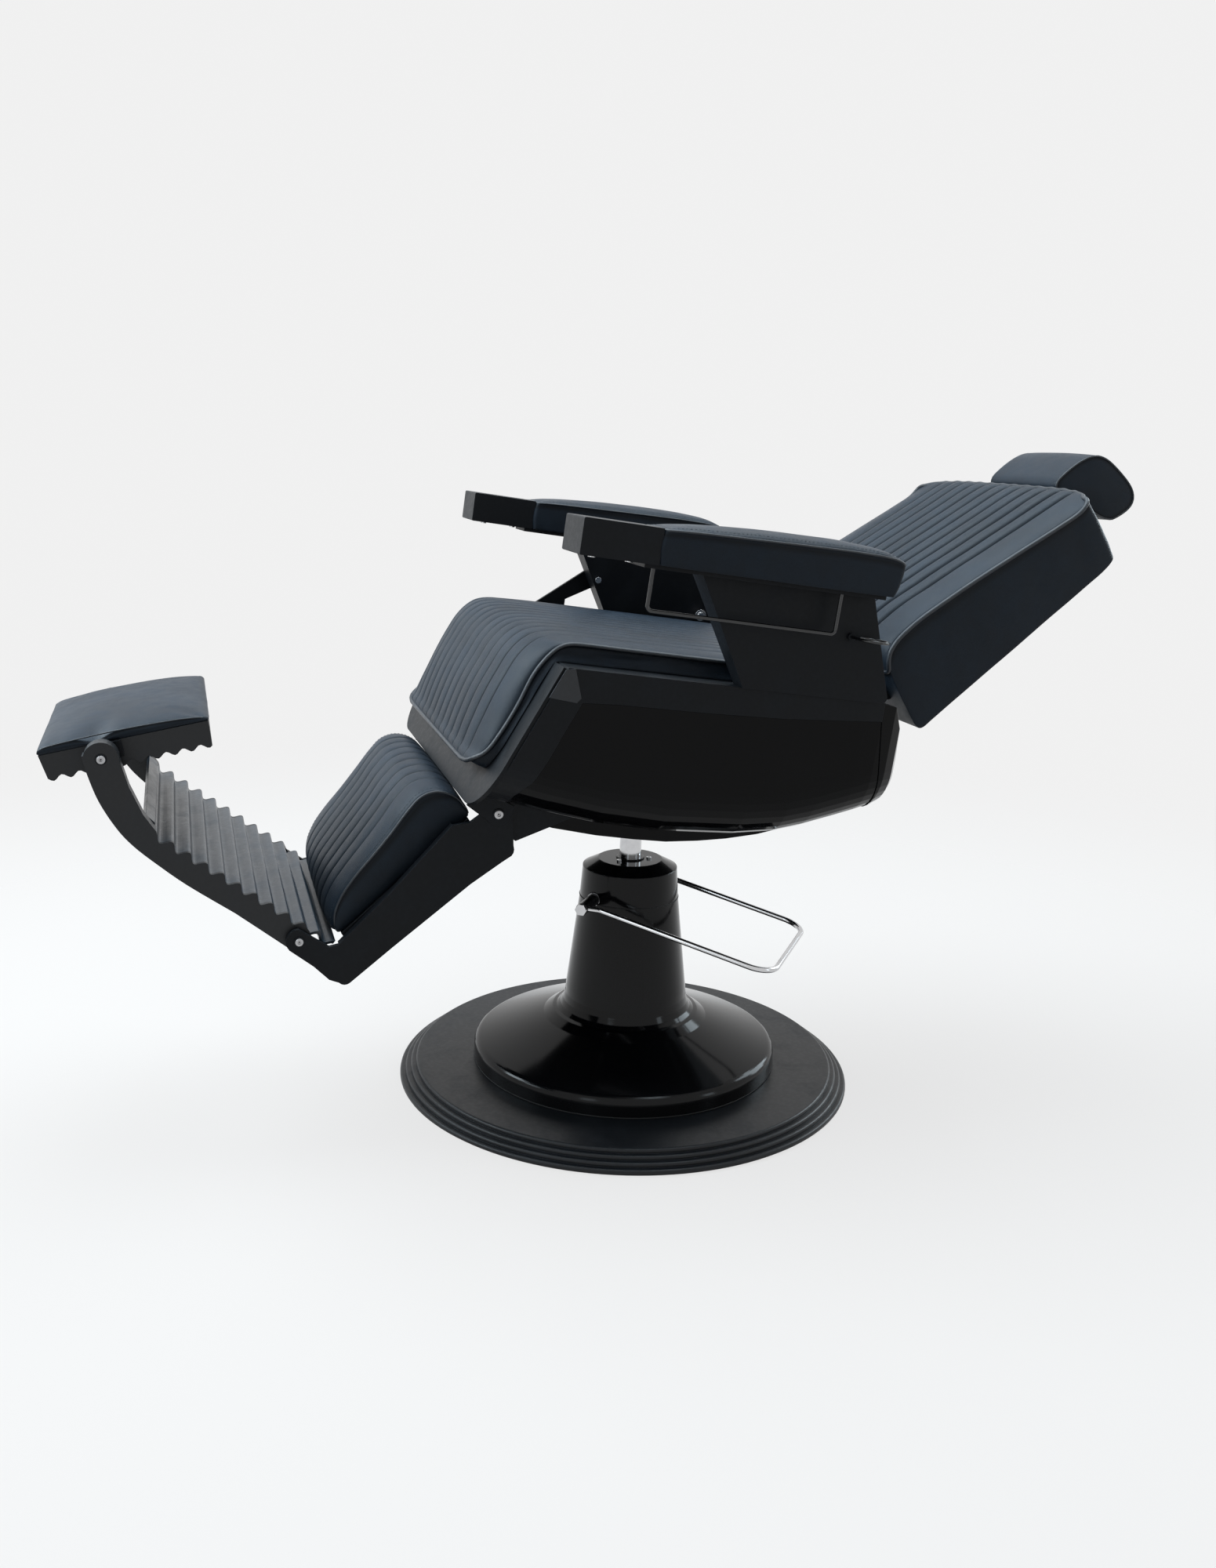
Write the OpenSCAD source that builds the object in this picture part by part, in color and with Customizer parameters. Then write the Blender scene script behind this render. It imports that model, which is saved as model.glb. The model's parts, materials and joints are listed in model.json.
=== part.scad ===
// Hydraulic barber chair: round floor plate, pump column, reclining back, leg rest with a ribbed
// footrest and a fold-over foot pad. All sizes are in millimetres, +Z is up, the sitter faces -Y.

/* [Floor plate] */
// Radius of the round floor plate
plate_r = 330; // [310:5:350]
// Height of the plate's flat top above the floor
plate_h = 26.5; // [24:0.5:32]
// Thickness of the plate's shell
plate_wall = 5; // [4:0.5:8]
// Number of steps in the plate's rim
rim_steps = 4; // [2:1:5]
// Width that the rim's steps take in all
rim_w = 31; // [26:1:36]
// Thickness of the sole under the plate
sole_t = 3; // [2:0.5:5]

/* [Column] */
// Radius of the bell where it meets the floor plate
bell_r = 222; // [200:2:240]
// Height of the bell's rim above the floor plate
bell_rim_h = 13; // [10:1:16]
// Thickness of the bell's wall
bell_wall = 4; // [3:0.5:6]
// Radius of the column just above the bell's flare
column_foot_r = 88; // [84:1:94]
// Radius of the column at the cap's seam
column_top_r = 71.6; // [68:0.2:74]
// Height of the seam between the column and its cap
seam_h = 273; // [262:1:280]
// Height of the cap's shoulder
shoulder_h = 317; // [308:1:322]
// Radius of the cap at its shoulder
shoulder_r = 68.2; // [64:0.2:70]
// Height of the cap's flat top
cap_h = 328; // [324:1:336]
// Radius of the cap's flat top
cap_top_r = 46.3; // [42:0.5:50]

/* [Pump] */
// Radius of the piston rod
rod_r = 15.6; // [12:0.2:18]
// Lift of the seat by the pump
stroke = 150; // [100:10:160]
// Radius of the pump cylinder
cylinder_r = 38; // [34:1:42]
// Radial clearance of every running fit
fit = 0.05; // [0.02:0.01:0.1]

/* [Pump lever] */
// Direction of the lever, turned from the sitter's left towards the back
lever_az = 54; // [40:1:70]
// Distance of the lever's shaft from the column's axis
lever_off = 31; // [26:1:34]
// Height of the lever's shaft
lever_h = 279; // [276:1:284]
// Half of the lever's width
lever_half = 108; // [100:2:116]
// Distance from the lever's shaft to its cross bar
lever_len = 278; // [240:2:290]
// Slope of the lever's legs
lever_slope = 12.8; // [8:0.2:14]
// Radius of the lever's rod
lever_rod_r = 4; // [3.5:0.1:5]
// Radius of the lever's shaft
lever_shaft_r = 6; // [5:0.5:6.5]

/* [Seat unit] */
// Height of the seat unit's reference plane on the swivel axis
seat_h = 400; // [396:1:412]
// Backward tilt of the whole seat unit
seat_tilt = 7; // [5:0.5:9]
// Half of the seat frame's width
frame_half = 294; // [286:1:300]
// Height of the seat frame's deck above the reference plane
deck_z = 230; // [226:1:234]
// Thickness of the seat frame's sheet
sheet = 4; // [3:0.5:5]
// Radius of the body's lower corners
corner_r = 62; // [50:2:68]
// Step from the frame down to the glossy shell
shell_step = 1; // [0.5:0.1:1.5]
// Thickness of the shell and its rear cap
shell_wall = 3; // [2.5:0.5:4]
// Gap between the bottom pan and the mechanism's side plates
pan_gap = 15; // [10:1:30]
// Depth of the bottom pan below the reference plane
pan_drop = 5; // [0:1:8]

/* [Seat cushion] */
// Distance from the frame's side to the cushion's piping
cushion_inset = 54; // [48:1:64]
// Width of the plain border beside the stitched channels
seat_border = 40; // [30:2:60]
// Number of stitched channels in the seat
seat_channels = 12; // [8:1:14]
// Height of the crown over the piping, as a share of the drawn crown
crown_fill = 1; // [0.6:0.05:1]
// Depth of the stitched channels, as a share of the crown
groove = 0.32; // [0.1:0.02:0.5]

/* [Arms] */
// Distance that the arm panels stand out from the frame's side
panel_over = 6; // [3:0.5:10]
// Thickness of the arm panels at the top
panel_top_t = 40; // [34:1:44]
// Thickness of the arm panels at the bottom
panel_low_t = 31; // [26:1:34]
// Height of the arm panels' top edge above the reference plane
arm_z = 359; // [340:1:370]
// Thickness of the plate under each armrest
arm_plate_t = 5; // [4:0.5:7]
// Width of each armrest block
block_w = 78; // [70:1:84]
// Height of each armrest block
block_h = 42; // [36:1:48]
// Length of each armrest block
block_len = 95; // [80:1:110]
// Width of each arm pad
pad_w = 88; // [80:1:92]
// Length of each arm pad
pad_len = 309; // [280:1:330]
// Radius of the towel bar's wire
wire_r = 2.4; // [2:0.1:3]
// Radius of the tool ring
ring_r = 19; // [15:0.5:22]

/* [Back] */
// Slope of the back at rest, above the horizontal
back_angle = 32.5; // [30:0.5:36]
// Distance of the back's pivot behind the swivel axis
back_piv_y = 215; // [212:0.5:218]
// Height of the back's pivot above the deck
back_piv_up = 8; // [7:0.5:11]
// Half of the back's width
back_half = 232; // [222:1:238]
// Length of the back from its pivot to its top seam
back_len = 388; // [380:1:420]
// Width of the plain border beside the back's channels
back_border = 56; // [40:2:80]
// Number of stitched channels in the back
back_channels = 11; // [8:1:12]
// Radius of the back's pivot pins
hinge_pin_r = 8; // [6:0.5:9]

/* [Headrest] */
// Half of the headrest's width
head_half = 88; // [70:1:110]
// Width of the headrest's stem
stem_w = 40; // [30:1:50]
// Thickness of the headrest's stem
stem_t = 8; // [6:0.5:10]
// Travel of the headrest along the back
head_travel = 80; // [40:5:90]

/* [Leg rest] */
// Slope of the leg rest at rest, above the horizontal
leg_angle = 31.9; // [28:0.5:36]
// Half of the distance over the side plates
calf_half = 196; // [190:1:200]
// Thickness of the side plates
calf_plate_t = 6; // [4:0.5:7]
// Distance from the leg rest's pivot to the footrest's pivot
leg_len = 290; // [286:1:300]
// Gap between the calf cushion and each side plate
calf_cushion_gap = 12; // [10:1:22]
// Number of stitched channels in the calf cushion
calf_channels = 7; // [5:1:9]
// Radius of the leg rest's pivot bolts
leg_bolt_r = 7; // [6:0.5:8]

/* [Footrest] */
// Slope of the footrest at rest, below the horizontal
foot_angle = 38.1; // [34:0.5:42]
// Gap between the footrest's arms and the leg rest's side plates
foot_side_gap = 3; // [1:0.5:5]
// Thickness of the footrest's arms
foot_arm_t = 22; // [18:1:24]
// Number of ribs across the tread
rib_count = 11; // [8:1:13]
// Height of the ribs
rib_h = 9; // [6:0.5:10]
// Radius of the footrest's bolts
foot_bolt_r = 6; // [5:0.5:7]

/* [Foot pad] */
// Slope of the foot pad at rest, above the horizontal
flip_angle = 11; // [8:0.5:14]
// Gap between the foot pad's tray and the footrest's arms
tray_gap = 15; // [11:1:25]
// Height of the foot pad's crown over the tray
footpad_crown = 19; // [14:1:24]

/* [Recline lever] */
// Thickness of the recline lever's flat bar
recline_t = 6; // [4:0.5:7]
// Width of the recline lever's handle
recline_w = 46; // [36:1:50]

/* [Hidden] */
$fn = 96;
eps = 0.02;
gap = 0.3;             // seat of soft pieces and of faces that move past each other

// Colours of the finishes
gloss_black = [0.03, 0.03, 0.035];
matte_black = [0.10, 0.105, 0.115];
vinyl_black = [0.16, 0.18, 0.20];
bright_steel = [0.78, 0.78, 0.80];
dull_steel = [0.45, 0.46, 0.48];
plywood = [0.62, 0.48, 0.32];

// ---- Widths and heights that follow from the sizes above ----
panel_out = frame_half + panel_over;
cushion_half = frame_half - cushion_inset;
channel_half = cushion_half - seat_border;
back_channel_half = back_half - back_border;
back_piv_z = deck_z + back_piv_up;
calf_in = calf_half - calf_plate_t;
calf_cushion_half = calf_in - calf_cushion_gap;
foot_half = calf_in - foot_side_gap;
foot_in = foot_half - foot_arm_t;      // inner face of the footrest's arms
tray_half = foot_in - tray_gap;
mech_in = calf_in - 10;                // inner face of the mechanism's side plates
mech_t = 6;
arm_t = 8;                             // thickness of the back's hinge arms
arm_in = mech_in + mech_t + 2;         // inner face of the hinge arms
pan_half = mech_in - pan_gap;

// ---- Frames: each one carries what is fixed to it ----
module on_seat() translate([0, 0, seat_h]) rotate([-seat_tilt, 0, 0]) children();
module on_back()
    on_seat() translate([0, back_piv_y, back_piv_z]) rotate([seat_tilt + back_angle, 0, 0]) children();
leg_piv_y = -245;
leg_piv_z = 26.3;
module on_leg()
    on_seat() translate([0, leg_piv_y, leg_piv_z]) rotate([seat_tilt + leg_angle, 0, 0]) children();
module on_foot() on_leg() translate([0, -leg_len, 0]) rotate([-foot_angle - leg_angle, 0, 0]) children();
flip_y = -317.5;
flip_z = 49.3;
module on_flip() on_foot() translate([0, flip_y, flip_z]) rotate([flip_angle + foot_angle, 0, 0]) children();
module on_lever()
    rotate([0, 0, lever_az]) translate([-lever_off, 0, lever_h]) children();

// ---- Helpers ----
// Points of a round stretch about [y, z]
function arc(y, z, r, a0, a1, n) =
    [for (i = [0:n]) let (a = a0 + (a1 - a0) * i / n) [y + r * cos(a), z + r * sin(a)]];
function lerp(a, b, t) = a + (b - a) * t;
// The same line with n - 1 points more between each two, drawn smoothly through them
function smooth(p, n) = concat([for (i = [0:len(p) - 2]) for (k = [0:n - 1])
    let (t = k / n, a = p[max(i - 1, 0)], b = p[i], c = p[i + 1], d = p[min(i + 2, len(p) - 1)])
    b + (c - a) * t / 2 + (2 * a - 5 * b + 4 * c - d) * t * t / 2 + (3 * b - a - 3 * c + d) * t * t * t / 2],
    [p[len(p) - 1]]);
function reversed(list) = [for (i = [len(list) - 1:-1:0]) list[i]];
// A flat piece drawn in the side view and as thick as x0 to x1
module side_plate(x0, x1, points)
    translate([x0, 0, 0]) rotate([90, 0, 90]) linear_extrude(x1 - x0) polygon(points);
module side_disc(x0, x1, y, z, r) translate([x0, y, z]) rotate([0, 90, 0]) cylinder(h = x1 - x0, r = r);
// The same piece on both sides of the chair
module both_sides() {
    children();
    mirror([1, 0, 0]) children();
}
// A round-headed bolt that enters along -X at [y, z] on the face x
module side_bolt(x, y, z, r, len, head_r, head_t) {
    side_disc(x - len, x + eps, y, z, r);
    side_disc(x, x + head_t * 0.45, y, z, head_r);
    translate([x + head_t * 0.45 - eps, y, z]) rotate([0, 90, 0])
        cylinder(h = head_t * 0.55, r1 = head_r, r2 = head_r * 0.6);
}

// ---- Upholstery ----
// A station is [seat point, piping point, crown point] in the side view. A section point is [x, s]:
// s runs from -1 at the seat point to 0 at the piping and 1 at the crown.
function at_station(st, x, s) =
    let (p = s < 0 ? lerp(st[1], st[0], -s) : lerp(st[1], st[2], s)) [x, p[0], p[1]];
function crown_at(x, half) = crown_fill * (1 - pow(abs(x) / half, 4));
// Upper line of a section, from the left piping to the right one, with its channels
function top_line(half, ch_half, n, depth) = concat(
    [for (k = [3:-1:1]) let (x = -lerp(ch_half, half - 4, k / 3)) [x, crown_at(x, half)]],
    [for (i = [0:4 * n]) let (x = -ch_half + 2 * ch_half * i / (4 * n))
        [x, crown_at(x, half) - (i % 4 == 0 ? depth : i % 4 == 2 ? 0 : depth * 0.2)]],
    [for (k = [1:3]) let (x = lerp(ch_half, half - 4, k / 3)) [x, crown_at(x, half)]]);
// Whole section: seat, drawn-in boxing, piping, crown
function section(half, ch_half, n, depth, flare) = concat(
    [[0, -1], [-half - flare, -1], [-half - flare - 1.5, -0.55], [-half + 2, -0.12], [-half - 3, 0.0],
     [-half + 1, 0.2 * crown_fill]],
    top_line(half, ch_half, n, depth),
    [[half - 1, 0.2 * crown_fill], [half + 3, 0.0], [half - 2, -0.12], [half + flare + 1.5, -0.55],
     [half + flare, -1]]);
module upholstered(stations, half, ch_half, n, depth, flare) {
    ring = section(half, ch_half, n, depth, flare);
    m = len(ring);
    last = len(stations) - 1;
    points = [for (st = stations) for (q = ring) at_station(st, q[0], q[1])];
    walls = [for (i = [0:last - 1]) for (j = [0:m - 1]) let (k = (j + 1) % m, a = i * m, b = a + m)
        each [[a + j, a + k, b + k], [a + j, b + k, b + j]]];
    ends = [for (j = [1:m - 2]) each [[0, j + 1, j], [last * m, last * m + j, last * m + j + 1]]];
    polyhedron(points, concat(walls, ends));
}
// A closed outline in the side view, swept across the chair and drawn in towards its ends
module swept_outline(outline, centre, stations) {
    m = len(outline);
    last = len(stations) - 1;
    points = [for (st = stations) for (p = outline) let (q = lerp(centre, p, st[1])) [st[0], q[0], q[1]]];
    walls = [for (i = [0:last - 1]) for (j = [0:m - 1]) let (k = (j + 1) % m, a = i * m, b = a + m)
        each [[a + j, a + k, b + k], [a + j, b + k, b + j]]];
    ends = [for (j = [1:m - 2]) each [[0, j + 1, j], [last * m, last * m + j, last * m + j + 1]]];
    polyhedron(points, concat(walls, ends));
}

// ---- Base: floor plate, column and pump ----
rim_in_r = plate_r - rim_w;
sole_r = plate_r - 4;
flange_r = 60;         // foot of the pump cylinder
gland_r = 20;          // neck that guides the piston rod
cylinder_top = lever_h - 17;
bell_top_z = plate_h + bell_rim_h;
flare_z = 135;         // where the column leaves the bell's flare
fillet_r = 103;        // where the flare leaves the bell's cone
fillet_z = 100;
rim_round = 14;        // rounding of the bell's edge
module lever_axis_hole(r) on_lever() rotate([90, 0, 0]) cylinder(h = 2 * plate_r, r = r, center = true);

module floor_sole() color(matte_black) cylinder(h = sole_t, r = sole_r);

// Beads of the stepped rim, from the outside inwards
rim_dz = (plate_h - sole_t) / rim_steps;
rim_dr = rim_w / rim_steps;
bead = rim_dz * 0.65;
rim_profile = [for (i = [0:rim_steps - 1])
    let (r = plate_r - i * rim_dr, z = sole_t + i * rim_dz)
    each concat([[r, z]], arc(r - bead, z + rim_dz - bead, bead, 0, 90, 4))];
module floor_plate() color(matte_black) rotate_extrude($fn = 180) polygon(concat(rim_profile,
    [[rim_in_r, plate_h], [flange_r - 14, plate_h], [flange_r - 14, plate_h - plate_wall],
     [rim_in_r - 8, plate_h - plate_wall], [plate_r - 9, sole_t]]));

// Outer line of the bell and column, pushed inwards by o
function bell_line(o) = concat(
    arc(bell_r - rim_round, bell_top_z + 4, rim_round - o, 0, 70, 6),
    [[fillet_r + 17 - o * 0.3, 91 - o]],
    [for (i = [0:5]) let (a = 90 * i / 5)
        [column_foot_r + (fillet_r - column_foot_r) * (1 - sin(a)) * 1.25 - o,
         fillet_z + (flare_z - fillet_z) * (1 - cos(a)) - o * (1 - i / 5)]],
    [[column_top_r - o, seam_h]]);
module column_bell() color(gloss_black) difference() {
    rotate_extrude($fn = 180) polygon(concat(
        [[bell_r - bell_wall, plate_h], [bell_r, plate_h]], bell_line(0),
        [for (i = [len(bell_line(bell_wall)) - 1:-1:0]) bell_line(bell_wall)[i]]));
    lever_axis_hole(bearing_r + gap);
}
module column_cap() color(gloss_black) difference() {
    rotate_extrude($fn = 180) polygon([
        [column_top_r - bell_wall, seam_h], [column_top_r, seam_h], [shoulder_r, shoulder_h],
        [cap_top_r, cap_h], [gland_r + gap, cap_h], [gland_r + gap, cap_h - bell_wall],
        [cap_top_r - 2, cap_h - bell_wall], [shoulder_r - bell_wall, shoulder_h - bell_wall / 2]]);
    lever_axis_hole(bearing_r + gap);
}
module pump_cylinder() color(dull_steel) difference() {
    union() {
        translate([0, 0, sole_t]) cylinder(h = cylinder_top - sole_t, r = cylinder_r);
        translate([0, 0, sole_t]) cylinder(h = 8, r = flange_r);
    }
    translate([0, 0, sole_t + 12]) cylinder(h = cylinder_top, r = cylinder_r - 5);
}
module piston_gland() color(dull_steel) difference() {
    union() {
        translate([0, 0, cylinder_top]) cylinder(h = 6, r = cylinder_r - 14);
        translate([0, 0, cylinder_top]) cylinder(h = cap_h + 2 - cylinder_top, r = gland_r);
        translate([0, 0, cylinder_top - 10]) cylinder(h = 10 + eps, r = cylinder_r - 5 - gap);
    }
    translate([0, 0, cylinder_top - 20]) cylinder(h = 120, r = rod_r + fit);
}
cap_screw_r = 27;
module cap_screws() color(bright_steel)
    for (i = [0:2]) rotate([0, 0, 67 + 120 * i]) translate([cap_screw_r, 0, cap_h]) difference() {
        cylinder(h = 2.6, r = 3.6, $fn = 32);
        translate([0, 0, 1.2]) cylinder(h = 2, r = 1.6, $fn = 6);
    }

// ---- Pump lever ----
bearing_r = 9.7;
sleeve_r = 8.6;
lever_lead = 26;       // level stretch before the legs slope down
lever_bend = 34;       // radius of the cross bar's corners
lever_knuckle = 0.3;   // swelling where the rod is bent
wall_y = sqrt(pow(column_top_r, 2) - pow(lever_off, 2));
module lever_bearings() color(dull_steel) on_lever() both_lever_sides() difference() {
    rotate([-90, 0, 0]) translate([0, 0, wall_y - 24]) cylinder(h = 25, r = bearing_r);
    rotate([-90, 0, 0]) cylinder(h = 2 * wall_y, r = lever_shaft_r + fit);
}
module both_lever_sides() {
    children();
    mirror([0, 1, 0]) children();
}
sleeve_y = wall_y + 2;
module lever_sleeves() color(gloss_black) on_lever() both_lever_sides() difference() {
    rotate([-90, 0, 0]) translate([0, 0, sleeve_y])
        cylinder(h = lever_half + 6 - gap - sleeve_y, r = sleeve_r);
    rotate([-90, 0, 0]) cylinder(h = 2 * plate_r, r = lever_shaft_r + fit);
    translate([0, lever_half, 0]) rotate([0, 90, 0]) cylinder(h = 2 * sleeve_r, r = lever_rod_r + fit);
}
module pump_lever() color(bright_steel) on_lever() {
    leg = lever_len - lever_lead - lever_bend;
    rotate([90, 0, 0]) cylinder(h = 2 * lever_half + 12, r = lever_shaft_r, center = true);
    both_lever_sides() {
        translate([0, lever_half + 6, 0]) rotate([-90, 0, 0]) cylinder(h = 4, r = sleeve_r, $fn = 6);
        translate([0, lever_half, 0]) rotate([0, 90, 0]) cylinder(h = lever_lead, r = lever_rod_r);
        translate([lever_lead, lever_half, 0]) sphere(r = lever_rod_r + lever_knuckle);
    }
    translate([lever_lead, 0, 0]) rotate([0, lever_slope, 0]) both_lever_sides() {
        translate([0, lever_half, 0]) rotate([0, 90, 0]) cylinder(h = leg, r = lever_rod_r);
        translate([leg, lever_half - lever_bend, 0])
            rotate_extrude(angle = 90) translate([lever_bend, 0]) circle(r = lever_rod_r, $fn = 32);
        translate([leg + lever_bend, -eps, 0]) rotate([-90, 0, 0])
            cylinder(h = lever_half - lever_bend + eps, r = lever_rod_r);
    }
}

// ---- Piston ----
rod_bottom = 60;
rod_top = seat_h + 31;
module piston_rod() color(bright_steel) {
    translate([0, 0, rod_bottom]) cylinder(h = rod_top - rod_bottom, r = rod_r);
    translate([0, 0, rod_bottom]) cylinder(h = 20, r = cylinder_r - 5 - gap);
}

// ---- Seat unit: mechanism ----
cross_z = 38;          // underside of the cross plate
cross_t = 8;
socket_r = 30;
module swivel_socket() color(dull_steel) difference() {
    union() {
        intersection() {
            translate([0, 0, seat_h - 8]) cylinder(h = 90, r = socket_r);
            on_seat() translate([-100, -100, -100]) cube([200, 200, 100 + cross_z]);
        }
        on_seat() translate([0, 0, cross_z - 8]) cylinder(h = 8, r = 2 * socket_r);
    }
    translate([0, 0, seat_h - 20]) cylinder(h = rod_top + 0.1 - seat_h + 20, r = rod_r + fit);
}
module cross_plate() color(matte_black) on_seat()
    translate([-mech_in, -120, cross_z]) cube([2 * mech_in, 230, cross_t]);
lug_r = 20;
ear_r = 17;
mech_outline = concat(
    arc(leg_piv_y, leg_piv_z, lug_r, 110, 230, 8),
    [[-214, -11], [-173, 10], [-120, 38], [0, 44], [90, 60], [140, 86], [back_piv_y - 18, 130],
     [back_piv_y + ear_r - 4, back_piv_z - 40]],
    arc(back_piv_y, back_piv_z, ear_r, 340, 540, 12),
    [[back_piv_y - ear_r - 1, back_piv_z - 22], [back_piv_y - 60, back_piv_z - 60], [60, 110], [-100, 92],
     [-215, 62]]);
module mechanism_plate() difference() {
    side_plate(mech_in, mech_in + mech_t, mech_outline);
    side_disc(mech_in - 1, mech_in + mech_t + 1, leg_piv_y, leg_piv_z, leg_bolt_r + fit);
    side_disc(mech_in - 1, mech_in + mech_t + 1, back_piv_y, back_piv_z, hinge_pin_r + fit);
}
module mechanism_plate_left() color(matte_black) on_seat() mechanism_plate();
module mechanism_plate_right() color(matte_black) on_seat() mirror([1, 0, 0]) mechanism_plate();

// ---- Seat unit: body ----
// Front plane of the frame: from its lower edge up to the deck's front edge
flange_low = [-295, 44];
flange_top = [-213.6, deck_z];
flange_slope = atan2(flange_top[1] - flange_low[1], flange_top[0] - flange_low[0]);
flange_len = norm(flange_top - flange_low);
flange_t = 5;
module on_flange() translate([0, flange_low[0], flange_low[1]]) rotate([flange_slope, 0, 0]) children();
// Cross sections of the hollow body: [y, underside, top, half width, corner radius]
function body_sections(o) = [
    [-300 + o, 60 + o, deck_z - o, frame_half - o, corner_r - o],
    [-205, 43 + o, deck_z - o, frame_half - o, corner_r - o],
    [-137, 33.5 + o, deck_z - o, frame_half - o, corner_r - o],
    [-54, 29 + o, deck_z - o, frame_half - o, corner_r - o],
    [47, 33 + o, deck_z - o, frame_half - o, corner_r - o],
    [103, 40.5 + o, deck_z - o, frame_half - o, corner_r - o],
    [140, 51 + o, deck_z - o, frame_half - o, corner_r - o],
    [185, 67 + o, deck_z - o, frame_half - o, corner_r - o],
    [209, 75.5 + o, deck_z - o, frame_half - 1 - o, corner_r - o],
    [228 - o / 2, 83 + o, deck_z - 4 - o, frame_half - 5 - o, corner_r - 4 - o],
    [243 - o / 2, 91 + o, deck_z - 32 - o, frame_half - 14 - o, corner_r - 12 - o],
    [255 - o, 101 + o, deck_z - 72 - o, frame_half - 32 - o, 36 - o / 2]];
module body_section(s) translate([0, s[0], 0]) rotate([90, 0, 0]) linear_extrude(0.1) union() {
    both_sides() translate([s[3] - s[4], s[1] + s[4]]) circle(r = s[4], $fn = 36);
    translate([-s[3], s[1] + s[4]]) square([2 * s[3], s[2] - s[1] - s[4]]);
}
module body_solid(o) hull() for (s = body_sections(o)) body_section(s);
module body_skin(o, t) difference() {
    body_solid(o);
    body_solid(o + t);
}
// Side view of the frame's strip and band, without what lies in front of the flange
strip_back = [[-252, 35], [-247.6, 67.7], [-231.3, 88.3], [-216.4, 118.2], [-202.1, deck_z - 77.2],
    [-185.5, deck_z - 39.5]];
cap_seam_y = 209;      // seam between the frame and the rear cap
band_h = 24;           // height of the frame's band at that seam
band_low = [[-140, deck_z - 37], [-30, deck_z - 36], [74, deck_z - 33], [cap_seam_y - 4, deck_z - band_h],
    [cap_seam_y, deck_z - band_h]];
far = 2 * frame_half;
module frame_zone() side_plate(-far, far, concat(
    [[-far, -50], [strip_back[0][0], -50]], strip_back, band_low, [[cap_seam_y, far], [-far, far]]));
cap_seam_low = [cap_seam_y + 23, 60];
module cap_zone() side_plate(-far, far,
    [[cap_seam_y, far], [cap_seam_y, deck_z - band_h], cap_seam_low, [far, 60], [far, far]]);
module behind_flange(d) on_flange() translate([-far, -200, -600 - d]) cube([2 * far, 700, 600]);
// Slots that let the back's hinges through the deck and the rear cap
slot_gap = 3;
pin_head = 5;          // thickness of the hinge pins' heads
slot_in = mech_in - pin_head - slot_gap;
slot_w = arm_in + arm_t + pin_head + slot_gap - slot_in;
module hinge_slots() both_sides()
    translate([slot_in, back_piv_y - ear_r - slot_gap, deck_z - 25]) cube([slot_w, 80, 80]);
board_half = 170;
board_h = 15;
module seat_frame() color(matte_black) on_seat() {
    difference() {
        intersection() {
            body_skin(0, sheet);
            frame_zone();
            behind_flange(flange_t);
        }
        hinge_slots();
        translate([-board_half + 20, -140, deck_z - 2 * sheet]) cube([2 * (board_half - 20), 280, 20]);
    }
    both_sides() difference() {
        side_plate(calf_half + 1.5, calf_half + 7, frame_lug);
        side_disc(calf_half, calf_half + 9, leg_piv_y, leg_piv_z, leg_bolt_r + fit);
    }
}
// Lug under the frame's corner that carries the leg rest's bolt
frame_lug = concat(arc(leg_piv_y, leg_piv_z, 15, 215, 350, 10),
    [[-226, 38], [-250, 48], [-257, 56], [-281, 60.5], [-281, 50], [-286, 34], [-272, 25.5]]);
module front_flange() color(matte_black) on_seat() on_flange() {
    corner = corner_r + 6;
    half = frame_half - 2;
    translate([0, 0, -flange_t]) linear_extrude(flange_t) polygon(concat(
        arc(corner - half, corner, corner, 180, 270, 24), arc(half - corner, corner, corner, 270, 360, 24),
        [[half, flange_len], [-half, flange_len]]));
}
module corner_clips() color(matte_black) on_seat() both_sides()
    side_plate(frame_half + 0.1, frame_half + 1.6,
        [[-227, deck_z - 37], [-211.5, deck_z - 2], [-200, deck_z], [-188, deck_z - 34],
        [-193, deck_z - 40]]);
module bottom_pan() color(gloss_black) on_seat() difference() {
    side_plate(-pan_half, pan_half, pan_outline(0));
    side_plate(-pan_half + shell_wall, pan_half - shell_wall, pan_outline(shell_wall));
    translate([-pan_half - 1, -far, cross_z - gap]) cube([2 * pan_half + 2, 2 * far, far]);
    translate([0, -2, -60]) cylinder(h = 80, r = socket_r + 12);
}
function pan_outline(o) = [[-222 + o, 60], [-206 + o, 17 + o], [-189, 10.5 + o], [-163, 4.5 + o],
    [-102, -pan_drop / 5 + o], [-50, -pan_drop / 2 + o], [-5, -pan_drop / 2 + o], [40, 2 + o], [80, 8 + o],
    [124 - o, 17.5 + o], [175 - o, 34 + o], [215 - o, 56 + o], [222 - o, 66]];
module shell_zone() difference() {
    side_plate(-far, far, [[-far, -50], [-far, far], [far, far], [far, -50]]);
    frame_zone();
    cap_zone();
}
shell_slot = 126;      // rear end of the opening under the shell
module seat_shell() color(gloss_black) on_seat() difference() {
    intersection() {
        body_skin(shell_step, shell_wall);
        shell_zone();
    }
    translate([-arm_in, leg_piv_y - lug_r, -50]) cube([2 * arm_in, shell_slot - leg_piv_y + lug_r, 150]);
}
module rear_cap() color(gloss_black) on_seat() difference() {
    intersection() {
        body_skin(0, shell_wall);
        cap_zone();
    }
    hinge_slots();
}
module seat_board() color(plywood) on_seat()
    translate([-board_half, -165, deck_z - sheet - board_h - eps]) cube([2 * board_half, 325, board_h]);

seat_top = deck_z + gap;
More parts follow.
